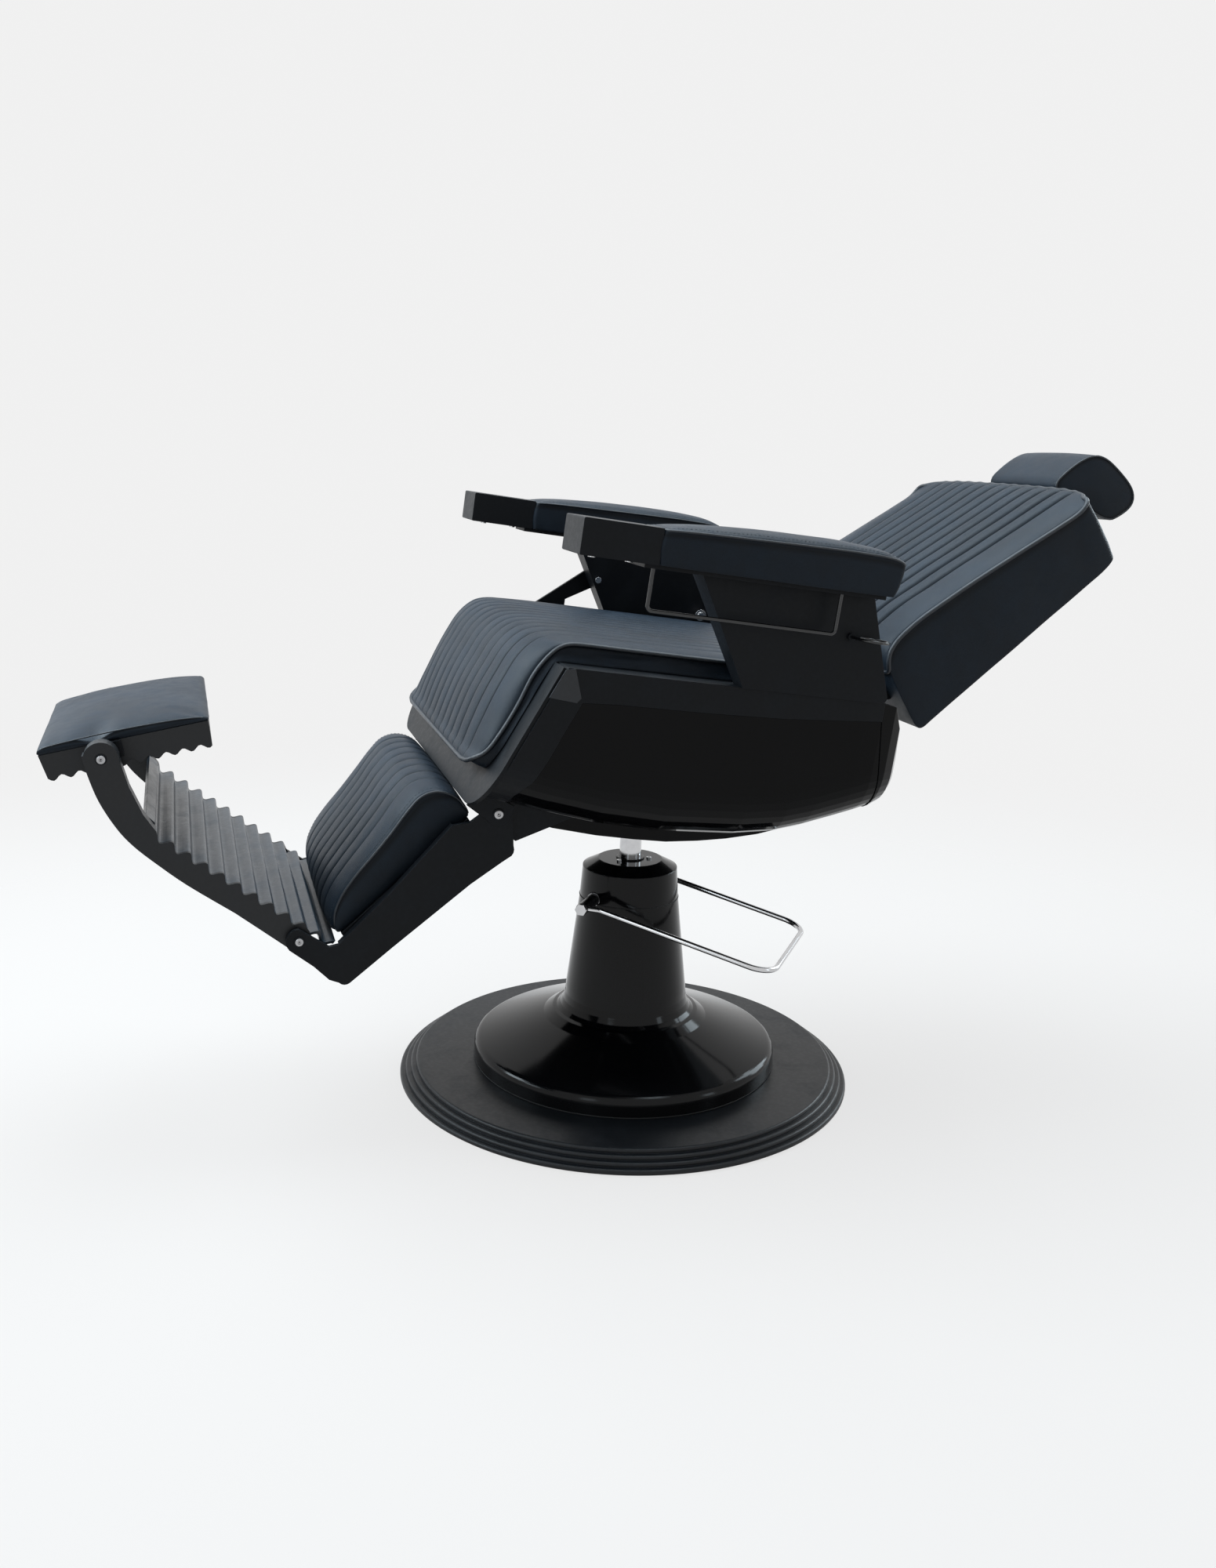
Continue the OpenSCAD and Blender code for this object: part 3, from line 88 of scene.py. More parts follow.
# ---- Shader values ----
class Shade:
    """A socket of a material. Sums and products of it add the Math nodes."""

    def __init__(self, tree, socket):
        self.tree, self.socket = tree, socket

    def _math(self, operation, a, b):
        return add_node(self.tree, "ShaderNodeMath", {"operation": operation}, {0: a, 1: b})

    def __add__(self, other):
        return self._math("ADD", self, other)

    __radd__ = __add__

    def __sub__(self, other):
        return self._math("SUBTRACT", self, other)

    def __rsub__(self, other):
        return self._math("SUBTRACT", other, self)

    def __mul__(self, other):
        return self._math("MULTIPLY", self, other)

    __rmul__ = __mul__

    def ramp(self, low, high, to_low=0.0, to_high=1.0):
        return add_node(self.tree, "ShaderNodeMapRange", {"interpolation_type": "SMOOTHSTEP"},
                        {"Value": self, "From Min": low, "From Max": high,
                         "To Min": to_low, "To Max": to_high})


def add_node(tree, kind, settings=None, inputs=None, out=0):
    """Adds a node, makes its settings, then fills its sockets with values or links."""
    node = tree.nodes.new(kind)
    for key, value in (settings or {}).items():
        setattr(node, key, value)
    for key, value in (inputs or {}).items():
        socket = node.inputs[key]
        if isinstance(value, Shade):
            tree.links.new(value.socket, socket)
        else:
            socket.default_value = value
    return Shade(tree, node.outputs[out] if node.outputs else None)


class Finish:
    """A new material with a Principled shader, and the patterns that feed it."""

    def __init__(self, name):
        self.material = bpy.data.materials.new(name)
        self.material.use_nodes = True
        self.tree = self.material.node_tree
        self.shader = self.tree.nodes["Principled BSDF"]
        self.place = self.node("ShaderNodeTexCoord", out="Object")

    def node(self, kind, settings=None, inputs=None, out=0):
        return add_node(self.tree, kind, settings, inputs, out)

    def cloud(self, scale, detail=2.0, place=None):
        return self.node("ShaderNodeTexNoise", {},
                         {"Vector": place or self.place, "Scale": scale, "Detail": detail})

    def cells(self, scale):
        return self.node("ShaderNodeTexVoronoi", {"feature": "DISTANCE_TO_EDGE"},
                         {"Vector": self.place, "Scale": scale})

    def blend(self, factor, low, high):
        return self.node("ShaderNodeMix", {"data_type": "RGBA"},
                         {"Factor": factor, 6: (*low, 1), 7: (*high, 1)}, out=2)

    def set(self, **values):
        for key, value in values.items():
            socket = self.shader.inputs[key.replace("_", " ")]
            if isinstance(value, Shade):
                self.tree.links.new(value.socket, socket)
            else:
                socket.default_value = value

    def rounded(self, edge):
        """The normal over edges that are rounded by edge metres, and a mask that is 1 on those edges."""
        normal = self.node("ShaderNodeBevel", {"samples": 4}, {"Radius": edge})
        flat = self.node("ShaderNodeNewGeometry", out="Normal")
        along = self.node("ShaderNodeVectorMath", {"operation": "DOT_PRODUCT"}, {0: normal, 1: flat},
                          out="Value")
        return normal, along.ramp(0.998, 0.9)

    def relief(self, height, distance, strength=0.5, normal=None):
        inputs = {"Height": height, "Distance": distance, "Strength": strength}
        if normal:
            inputs["Normal"] = normal
        self.set(Normal=self.node("ShaderNodeBump", {}, inputs))


def tone(colour, share):
    return tuple(c * share for c in colour)


def vinyl(name, colour, grain=950.0, rough=0.42, specular=0.14):
    """Upholstery vinyl: pebbled grain, soft tone changes, and painted shade from the seam attribute, darker along
    each sewn groove, under the piping and on the underside.
    """
    m = Finish(name)
    grain_cells = m.cells(grain).ramp(0.02, 0.2)
    pores = m.cloud(grain * 2.2, 3)
    drift = m.cloud(14, 3).ramp(0.3, 0.7)
    rub = m.cloud(55, 4).ramp(0.35, 0.75)
    # The seam attribute darkens the colour by up to 95 per cent: painted shade in the sewn grooves, in the crease
    # under the piping and under the cushion.
    seam = m.node("ShaderNodeAttribute", {"attribute_name": "seam"}, out="Fac")
    light = 0.45 + drift * 0.22 + grain_cells * 0.18 + rub * 0.15
    m.set(Base_Color=m.blend(light * (1 - seam * 0.95), tone(colour, 0.12), tone(colour, 1.25)),
          Roughness=rough + 0.08 * rub - 0.04 * grain_cells + 0.12 * seam, Specular_IOR_Level=specular)
    m.relief(grain_cells * 0.75 + pores * 0.35 + drift * 0.6, 0.00018, 0.5)
    return m.material


def powder_coat(name, colour, rough=0.42, edge=0.0012, speckle=900.0, specular=0.14):
    """Satin powder coat: orange peel, faint handling marks, and edges painted paler, partly as rubbing wear and
    partly as a painted highlight along them.
    """
    m = Finish(name)
    peel = m.cloud(speckle, 2)
    marks = m.cloud(22, 4).ramp(0.45, 0.75)
    fine = m.cloud(160, 3).ramp(0.4, 0.7)
    normal, edge_wear_and_highlight = m.rounded(edge)
    # Edges painted paler: partly rubbing wear, partly a painted highlight along the edges.
    rubbed_and_highlit_edges = edge_wear_and_highlight * (0.35 + 0.3 * fine)
    m.set(Base_Color=m.blend(marks * 0.1 + fine * 0.06 + rubbed_and_highlit_edges, tone(colour, 0.85), tone(colour, 4.0)),
          Roughness=rough + 0.08 * marks - 0.05 * fine, Specular_IOR_Level=specular)
    m.relief(peel, 0.00012, 0.45, normal)
    return m.material


def gloss_enamel(name, colour, rough=0.05, edge=0.0016, specular=0.1):
    """Deep gloss enamel: almost a mirror, with a faint ripple, a little dust and fine edges painted paler, partly
    as rubbing wear and partly as a painted highlight.
    """
    m = Finish(name)
    ripple = m.cloud(16, 1)
    dust = m.cloud(420, 4).ramp(0.62, 0.8)
    smear = m.cloud(7, 3).ramp(0.45, 0.8)
    normal, edge_wear_and_highlight = m.rounded(edge)
    # Edges painted paler: partly rubbing wear, partly a painted highlight along the edges.
    m.set(Base_Color=m.blend(dust * 0.2 + smear * 0.1 + edge_wear_and_highlight * 0.3, colour, tone(colour, 5.0)),
          Roughness=rough + 0.05 * smear + 0.15 * dust, Specular_IOR_Level=specular)
    m.relief(ripple, 0.0006, 0.2, normal)
    return m.material


def bright_metal(name, colour, rough, scratch=0.1, edge=0.0006):
    """Plated or turned metal: hairline scratches and a few duller patches."""
    m = Finish(name)
    squeezed = m.node("ShaderNodeMapping", {}, {"Vector": m.place, "Scale": (1.0, 1.0, 14.0)})
    hair = m.cloud(320, 3, squeezed)
    patch = m.cloud(35, 3).ramp(0.4, 0.75)
    m.set(Base_Color=m.blend(patch, colour, tone(colour, 0.86)), Metallic=1.0,
          Roughness=rough + scratch * patch + 0.06 * hair)
    m.relief(hair, 0.00004, 0.35, m.rounded(edge)[0])
    return m.material


def plywood(name, light, dark):
    m = Finish(name)
    drawn = m.node("ShaderNodeMapping", {}, {"Vector": m.place, "Scale": (3.0, 40.0, 40.0)})
    grain = m.cloud(6, 5, drawn)
    pores = m.cloud(60, 3, drawn).ramp(0.45, 0.7)
    m.set(Base_Color=m.blend(grain * 0.7 + pores * 0.3, light, dark), Roughness=0.62 + 0.15 * grain)
    m.relief(grain * 0.6 + pores * 0.4, 0.0003, 0.5)
    return m.material


def moulded(name, colour, rough, edge=0.0008):
    m = Finish(name)
    grain = m.cloud(1400, 2)
    marks = m.cloud(40, 3)
    m.set(Base_Color=m.blend(marks, tone(colour, 0.8), tone(colour, 1.3)), Roughness=rough + 0.1 * marks,
          Specular_IOR_Level=0.3)
    m.relief(grain, 0.0001, 0.4, m.rounded(edge)[0] if edge else None)
    return m.material


FINISHES = {}


def make_finishes(look):
    frame_tone, enamel = look.frame_colour, look.enamel_colour
    FINISHES.update(
        vinyl=vinyl("black_vinyl", look.vinyl_colour),
        piping=vinyl("piping_vinyl", tone(look.vinyl_colour, 0.75), 1400.0, 0.36, 0.45),
        thread=moulded("black_thread", look.thread_colour, 0.6, 0.0),
        powder=powder_coat("powder_coat", frame_tone),
        cast=powder_coat("cast_footrest", frame_tone, 0.42, 0.0014, 700.0, 0.35),
        tread=powder_coat("cast_tread", (0.012, 0.021, 0.031), 0.32, 0.0012, 700.0, 0.5),
        plate=powder_coat("floor_plate_coat", (0.0042, 0.0054, 0.0072), 0.38, 0.0008, 650.0, 0.28),
        # The corner clips get the frame's powder coat made 2.4 times paler: painted light, standing in for the
        # light on the clips.
        clip=powder_coat("clip_coat", tone(frame_tone, 2.4), 0.36, 0.0005, 900.0, 0.4),
        wire=powder_coat("wire_coat", tone(frame_tone, 0.8), 0.2, 0.0004, 700.0, 0.6),
        gloss=gloss_enamel("gloss_enamel", enamel),
        bell=gloss_enamel("column_enamel", tone(enamel, 1.3), 0.1, 0.002, 0.18),
        chrome=bright_metal("chrome_steel", (0.6, 0.6, 0.61), 0.1, 0.08),
        steel=bright_metal("bare_steel", (0.4, 0.4, 0.41), 0.28, 0.12),
        sleeve=moulded("sleeve_plastic", (0.012, 0.012, 0.013), 0.22),
        rubber=moulded("rubber_sole", (0.02, 0.02, 0.02), 0.7),
        ply=plywood("birch_ply", (0.55, 0.42, 0.27), (0.36, 0.25, 0.14)),
    )


FINISH_OF_SLOT = {"rubber_sole": "rubber", "powder_coat": "powder", "gloss_enamel": "gloss",
                  "cast_footrest": "cast", "black_vinyl": "vinyl", "chrome_steel": "chrome",
                  "bare_steel": "steel", "sleeve_plastic": "sleeve", "birch_ply": "ply"}
FINISH_OF_NODE = {"floor_plate": "plate", "column_bell": "bell", "column_cap": "bell", "piston_gland": "bell",
                  "towel_bar": "wire", "tool_ring": "wire", "corner_clips": "clip", "foot_tread": "tread"}


# ---- Upholstery ----
def drawn_through(knots, step, ends=10.0):
    """Rows of a smooth line through the stations, closer together near its two ends."""
    knots = np.array(knots, float).reshape(len(knots), -1)
    spans = np.linalg.norm(np.diff(knots[:, 2:], axis=0), axis=1) + 0.5
    at = np.concatenate([[0], np.cumsum(spans)])
    slope = np.gradient(knots, at, axis=0)
    near = [0.0]
    while near[-1] < ends * 4:
        near.append(near[-1] + 1.0 + near[-1] * 0.16)
    near = [n for n in near if n < at[-1] * 0.45]
    middle = np.linspace(near[-1], at[-1] - near[-1], max(3, int((at[-1] - 2 * near[-1]) / step)))
    ts = np.array(near[:-1] + list(middle) + [at[-1] - n for n in reversed(near[:-1])])
    rows = []
    for t in ts:
        i = min(max(int(np.searchsorted(at, t)) - 1, 0), len(at) - 2)
        h = at[i + 1] - at[i]
        u = (t - at[i]) / h
        rows.append((2 * u**3 - 3 * u**2 + 1) * knots[i] + (u**3 - 2 * u**2 + u) * h * slope[i]
                    + (3 * u**2 - 2 * u**3) * knots[i + 1] + (u**3 - u**2) * h * slope[i + 1])
    return np.array(rows)


class Pad:
    """A box cushion: a crowned top with sewn channels, drawn-in sides and a flat underside."""

    def __init__(self, stations, half, channel_half, channels, depth, pillow, radii, flare=0.0, side=6,
                 bulge=1.0, edge=(5.0, 0.5), step=6.0, seam_width=2.4):
        self.rows = drawn_through(stations, step)
        self.half, self.channel_half, self.channels = half, channel_half, channels
        self.depth, self.pillow, self.radii, self.flare = depth, pillow, radii, flare
        self.side, self.bulge, self.edge, self.seam_width = side, bulge, edge, seam_width
        path = self.rows[:, 4:6]
        run = np.concatenate([[0], np.cumsum(np.linalg.norm(np.diff(path, axis=0), axis=1))])
        self.run = run
        self.widths = np.array([self._half_at(d, run[-1] - d) for d in run])
        self.columns = self._columns()
        self.top, self.seam = self._top()
        self.base = self._base()

    def _half_at(self, from_start, from_end):
        width = self.half
        for d, r in ((from_start, self.radii[0]), (from_end, self.radii[1])):
            if d < r:
                width = min(width, self.half - r + math.sqrt(max(r * r - (r - d) ** 2, 0)))
        return width

    def _columns(self):
        """Places across the top: below 1 a share of the channels' width, above it a share of the border."""
        inner = [0.0]
        if self.channels > 1:
            pitch = 2 * self.channel_half / self.channels
            w = self.seam_width
            offsets = [0, 0.4 * w, w, 0.5 * (w + pitch / 4) + w * 0.3, pitch * 0.38, pitch * 0.5]
            marks = set()
            for k in range(self.channels + 1):
                seam = -self.channel_half + k * pitch
                for o in offsets:
                    marks.update((round(seam + o, 3), round(seam - o, 3)))
            inner = sorted(m for m in marks if abs(m) <= self.channel_half + 0.01)
        else:
            count = max(9, int(self.channel_half / 3))
            inner = list(np.linspace(-self.channel_half, self.channel_half, count))
        border = (0.03, 0.07, 0.14, 0.24, 0.36, 0.49, 0.62, 0.73, 0.82, 0.89, 0.94, 0.975, 1.0)
        left = [("l", f) for f in reversed(border)]
        right = [("r", f) for f in border]
        return left + [("c", x) for x in inner] + right

    def _x(self, column, width):
        kind, value = column
        if kind == "c":
            return value
        x = self.channel_half + (width - self.channel_half) * value
        return -x if kind == "l" else x

    def _crown(self, x, width):
        p, q = self.edge
        return max(0.0, 1 - min(1.0, abs(x) / width) ** p) ** q

    def _top(self):
        top = np.zeros((len(self.rows), len(self.columns), 3))
        for i, (row, width) in enumerate(zip(self.rows, self.widths)):
            pipe, crown = row[2:4], row[4:6]
            for j, column in enumerate(self.columns):
                x = self._x(column, width)
                y, z = pipe + (crown - pipe) * self._crown(x, width)
                top[i, j] = x, y, z
        across = np.gradient(top, axis=1)
        along = np.gradient(top, axis=0)
        normal = np.cross(across, along)
        normal /= np.linalg.norm(normal, axis=2, keepdims=True) + 1e-9
        middle = normal[len(self.rows) // 2, len(self.columns) // 2]
        if middle @ self._outward() < 0:
            normal = -normal
        self.normal = normal
        # seam holds how deep each top point lies in a sewn groove; the vinyl paints shade there by it.
        seam = np.zeros(top.shape[:2])
        if self.channels > 1:
            pitch = 2 * self.channel_half / self.channels
            end = np.minimum(self.run, self.run[-1] - self.run)
            fade = np.clip(end / 14.0, 0, 1) ** 0.7
            for j in range(len(self.columns)):
                x = top[:, j, 0]
                inside = np.abs(x) <= self.channel_half + pitch * 0.5
                u = np.abs(((x + self.channel_half) / pitch + 0.5) % 1.0 - 0.5) * 2
                groove = np.exp(-(((u * pitch / 2) / self.seam_width) ** 2))
                swell = np.where(np.abs(x) < self.channel_half, np.sqrt(np.clip(1 - (1 - u) ** 2, 0, 1)), 1.0)
                shift = (self.pillow * (swell - 1) - self.depth * groove) * fade * inside
                top[:, j] += normal[:, j] * shift[:, None]
                seam[:, j] = groove * fade * inside
        return top, seam

    def _outward(self):
        i = len(self.rows) // 2
        row = self.rows[i]
        return np.array([0, *(row[4:6] - row[0:2])])

    def _base(self):
        base = np.zeros_like(self.top)
        for i, (row, width) in enumerate(zip(self.rows, self.widths)):
            for j, column in enumerate(self.columns):
                x = self._x(column, width + self.flare)
                base[i, j] = x, row[0], row[1]
        return base

    def rim(self):
        """Row and column of every point round the top's edge, in order."""
        m, n = self.top.shape[:2]
        return ([(0, j) for j in range(n)] + [(i, n - 1) for i in range(1, m)]
                + [(m - 1, j) for j in range(n - 2, -1, -1)] + [(i, 0) for i in range(m - 2, 0, -1)])

    def line(self, x):
        """Points and normals along the top at the column nearest to x."""
        j = int(np.argmin(np.abs(self.top[len(self.rows) // 2, :, 0] - x)))
        return self.top[:, j], self.normal[:, j]

    def mesh(self, name, place, crease=0.0, seed=1.0):
        m, n = self.top.shape[:2]
        points = [tuple(p) for p in self.top.reshape(-1, 3)] + [tuple(p) for p in self.base.reshape(-1, 3)]
        # The underside gets seam 0.3: painted shade under the cushion.
        seam = list(self.seam.reshape(-1)) + [0.3] * (m * n)
        rim = self.rim()
        centre = self.top.reshape(-1, 3).mean(0)
        for k in range(1, self.side):
            f = k / self.side
            for i, j in rim:
                a, b = self.top[i, j], self.base[i, j]
                out = a - centre
                out[1:] -= (b - a)[1:] * ((out[1:] @ (b - a)[1:]) / max((b - a)[1:] @ (b - a)[1:], 1e-6))
                out /= np.linalg.norm(out) + 1e-9
                ripple = crease * noise.noise(Vector((a[0] * 0.02, (a[1] + a[2]) * 0.03, k * 0.35 + seed)))
                swollen = self.bulge * math.sin(math.pi * f) + ripple * math.sin(math.pi * f)
                p = a + (b - a) * f + out * swollen
                points.append(tuple(p))
                # Painted shade down the side: seam 0.9 on the first row, in the crease under the piping, and 0.1
                # below it.
                seam.append(0.9 if k == 1 else 0.1)
        faces = []
        for i in range(m - 1):
            for j in range(n - 1):
                a = i * n + j
                faces.append((a, a + 1, a + n + 1, a + n))
                b = m * n + a
                faces.append((b, b + n, b + n + 1, b + 1))
        count = len(rim)

        def ring(k, q):
            i, j = rim[q % count]
            if k == 0:
                return i * n + j
            if k == self.side:
                return m * n + i * n + j
            return 2 * m * n + (k - 1) * count + q % count

        for k in range(self.side):
            for q in range(count):
                faces.append((ring(k, q), ring(k + 1, q), ring(k + 1, q + 1), ring(k, q + 1)))
        return new_piece(name, points, faces, place, {"seam": seam})


def unit(v):
    return v / (np.linalg.norm(v) + 1e-9)


def new_piece(name, points, faces, place=None, attributes=None):
    """A mesh object at the origin, with its points put in place and its faces outwards."""
    mesh = bpy.data.meshes.new(name)
    mesh.from_pydata([tuple(p) for p in points], [], faces)
    for key, values in (attributes or {}).items():
        mesh.attributes.new(key, "FLOAT", "POINT").data.foreach_set("value", np.array(values, np.float32))
    if place is not None:
        mesh.transform(place)
    mesh.update()
    piece = bpy.data.objects.new(name, mesh)
    bpy.context.scene.collection.objects.link(piece)
    face_outwards(piece)
    shade_smooth(mesh)
    return piece


def shade_smooth(mesh):
    for polygon in mesh.polygons:
        polygon.use_smooth = True


def only(piece):
    bpy.ops.object.select_all(action="DESELECT")
    piece.select_set(True)
    bpy.context.view_layer.objects.active = piece


def face_outwards(piece):
    only(piece)
    bpy.ops.object.mode_set(mode="EDIT")
    bpy.ops.mesh.select_all(action="SELECT")
    bpy.ops.mesh.normals_make_consistent(inside=False)
    bpy.ops.mesh.select_all(action="DESELECT")
    bpy.ops.object.mode_set(mode="OBJECT")


def tube(name, path, radius, place, closed=True, sides=8):
    """A cord swept along a line, such as a piping."""
    path = np.array(path, float)
    count = len(path)
    ahead = np.roll(path, -1, 0) if closed else np.vstack([path[1:], path[-1:] * 2 - path[-2:-1]])
    behind = np.roll(path, 1, 0) if closed else np.vstack([path[:1] * 2 - path[1:2], path[:-1]])
    along = ahead - behind
    along /= np.linalg.norm(along, axis=1, keepdims=True) + 1e-9
    side = np.zeros_like(path)
    ref = np.array([0.0, 0.0, 1.0]) if abs(along[0][2]) < 0.9 else np.array([1.0, 0.0, 0.0])
    side[0] = np.cross(along[0], ref)
    for i in range(1, count):
        side[i] = side[i - 1] - along[i] * (side[i - 1] @ along[i])
        side[i] /= np.linalg.norm(side[i]) + 1e-9
    side[0] /= np.linalg.norm(side[0]) + 1e-9
    up = np.cross(along, side)
    points = []
    for i in range(count):
        for k in range(sides):
            a = 2 * math.pi * k / sides
            points.append(path[i] + radius * (math.cos(a) * side[i] + math.sin(a) * up[i]))
    faces = []
    for i in range(count if closed else count - 1):
        nxt = (i + 1) % count
        shift = 0
        if closed and i == count - 1:
            gaps = [np.linalg.norm(points[i * sides] - points[nxt * sides + s]) for s in range(sides)]
            shift = int(np.argmin(gaps))
        for k in range(sides):
            faces.append((i * sides + k, i * sides + (k + 1) % sides, nxt * sides + (k + 1 + shift) % sides,
                          nxt * sides + (k + shift) % sides))
    if not closed:
        faces += [tuple(range(sides)), tuple((count - 1) * sides + k for k in range(sides))]
    return new_piece(name, points, faces, place)


def spaced(path, step, closed=False):
    """The same line with its points step apart."""
    path = np.array(path, float)
    if closed:
        path = np.vstack([path, path[:1]])
    run = np.concatenate([[0], np.cumsum(np.linalg.norm(np.diff(path, axis=0), axis=1))])
    at = np.linspace(0, run[-1], max(3, int(run[-1] / step)), endpoint=not closed)
    return np.stack([np.interp(at, run, path[:, c]) for c in range(path.shape[1])], 1)


STITCH = np.array([(-1, 0, 0), (-0.55, 0.5, 0.1), (-0.55, -0.5, 0.1), (-0.45, 0, 0.75), (0.45, 0, 0.75),
                   (0.55, 0.5, 0.1), (0.55, -0.5, 0.1), (1, 0, 0), (0, 0, -0.4)])
STITCH_FACES = [(0, 3, 1), (0, 2, 3), (1, 3, 4, 5), (3, 2, 6, 4), (5, 4, 7), (4, 6, 7),
                (0, 1, 8), (1, 5, 8), (5, 7, 8), (7, 6, 8), (6, 2, 8), (2, 0, 8)]


def stitches(name, lines, place, pitch=5.0, length=3.4, width=1.0, lift=0.15):
    """Rows of thread stitches along lines of (points, normals)."""
    points, faces = [], []
    for path, normals in lines:
        both = spaced(np.hstack([path, normals]), pitch)
        at, up = both[:, :3], both[:, 3:]
        for i in range(1, len(at) - 1):
            x = unit(at[i + 1] - at[i - 1])
            z = unit(up[i] - x * (up[i] @ x))
            y = np.cross(z, x)
            start = len(points)
            for a, b, c in STITCH:
                points.append(at[i] + x * a * length / 2 + y * b * width + z * (c * width * 0.7 + lift))
            faces += [tuple(start + k for k in f) for f in STITCH_FACES]
    return new_piece(name, points, faces, place)


def swell(piece, pinned, pressure, cap, frames=CLOTH_FRAMES):
    """Puffs the vinyl with Blender's cloth while the pinned points hold, and caps how far it moves."""
    mesh = piece.data
    rest = np.zeros(len(mesh.vertices) * 3)
    mesh.vertices.foreach_get("co", rest)
    rest = rest.reshape(-1, 3)
    group = piece.vertex_groups.new(name="held")
    group.add([int(i) for i in np.nonzero(pinned)[0]], 1.0, "REPLACE")
    cloth = piece.modifiers.new("Cloth", "CLOTH")
    cloth.settings.vertex_group_mass = "held"
    cloth.settings.use_pressure = True
    cloth.settings.uniform_pressure_force = pressure
    cloth.settings.quality = 5
    cloth.settings.mass = 0.3
    cloth.settings.tension_stiffness = 25
    cloth.settings.compression_stiffness = 25
    cloth.settings.bending_stiffness = 2
    cloth.settings.effector_weights.gravity = 0
    cloth.point_cache.frame_start = 1
    cloth.point_cache.frame_end = frames
    scene = bpy.context.scene
    for number in range(1, frames + 1):
        scene.frame_set(number)
    evaluated = piece.evaluated_get(bpy.context.evaluated_depsgraph_get())
    puffed = np.zeros(len(mesh.vertices) * 3)
    evaluated.data.vertices.foreach_get("co", puffed)
    move = puffed.reshape(-1, 3) - rest
    far = np.linalg.norm(move, axis=1, keepdims=True)
    move *= np.minimum(1.0, cap * MM / np.maximum(far, 1e-9))
    move[np.array(pinned)] = 0
    piece.modifiers.remove(cloth)
    piece.vertex_groups.remove(group)
    mesh.vertices.foreach_set("co", (rest + move).reshape(-1))
    mesh.update()
    scene.frame_set(1)


def smoothed(piece, levels=1):
    modifier = piece.modifiers.new("Subdivision", "SUBSURF")
    modifier.levels = modifier.render_levels = levels
    only(piece)
    bpy.ops.object.modifier_apply(modifier=modifier.name)
    shade_smooth(piece.data)


def finish_piece(piece, body, finish):
    """Gives a piece its finish and the body that carries it."""
    piece.data.materials.clear()
    piece.data.materials.append(FINISHES[finish])
    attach(piece, body)
    return piece


def held_points(pad, around=0.25):
    """The points of a pad that its seams and its board hold: the underside, the edge and the channels."""
    m, n = pad.top.shape[:2]
    top = pad.seam > around
    top[0, :] = top[-1, :] = True
    top[:, 0] = top[:, -1] = True
    sides = np.zeros((pad.side - 1) * len(pad.rim()), bool)
    return np.concatenate([top.reshape(-1), np.ones(m * n, bool), sides])


# Stations along each pad, in millimetres: the underside's point, the piping's and the crown's
SEAT_STATIONS = [
    (190, 230.3, 192.5, 250.5, 192.5, 250.6), (188, 230.3, 189.5, 252.5, 189, 255),
    (176, 230.3, 176, 253.5, 175, 260), (120, 230.3, 120, 253.5, 120, 262),
    (60, 230.3, 60, 253.5, 60, 262), (-10, 230.3, -10, 253.5, -10, 262),
    (-80, 230.3, -80, 253.5, -80, 262), (-140, 230.3, -143, 253.5, -148, 261.5),
    (-175, 230.3, -180, 253.5, -190, 260.3), (-197, 230.3, -198, 252.5, -209, 258.8),
    (-207, 230, -210, 247.8, -226.4, 254.6), (-214, 228, -221, 237, -243, 243),
    (-218, 221, -229.5, 225, -255.2, 227.5), (-226, 204, -238, 209, -267, 202.7),
    (-238, 176, -251.5, 172, -280, 172), (-256, 135, -270, 132, -291.5, 133),
    (-268, 107, -285, 107, -297.5, 108), (-274, 93, -294.5, 99, -300.3, 99),
    (-277, 87, -298.5, 93.5, -300, 93.8)]
BACK_STATIONS = [
    (33.4, -70, 35.6, 2.5, 33.5, 3.2), (34, -78, 37, 11, 33, 14), (36, -86, 40.5, 19, 35, 27),
    (42, -89.6, 48, 28, 43, 40), (56, -88, 62, 35, 58, 49), (88, -84, 88, 40.4, 88, 54.5),
    (160, -75.3, 160, 43.5, 160, 56), (262, -62.8, 262, 42.2, 262, 55),
    (340, -53.3, 340, 40.4, 342, 54.5), (366, -50, 366, 40.6, 374, 54.3),
    (380, -46, 380, 44, 394, 52.5), (388, -42, 386.5, 47, 403, 49.5),
    (392, -35, 389.5, 47.5, 407, 45.5)]


def on_calf(y, n=0.3):
    return (y, -26 + (y + 246) * 37 / 215 + n)


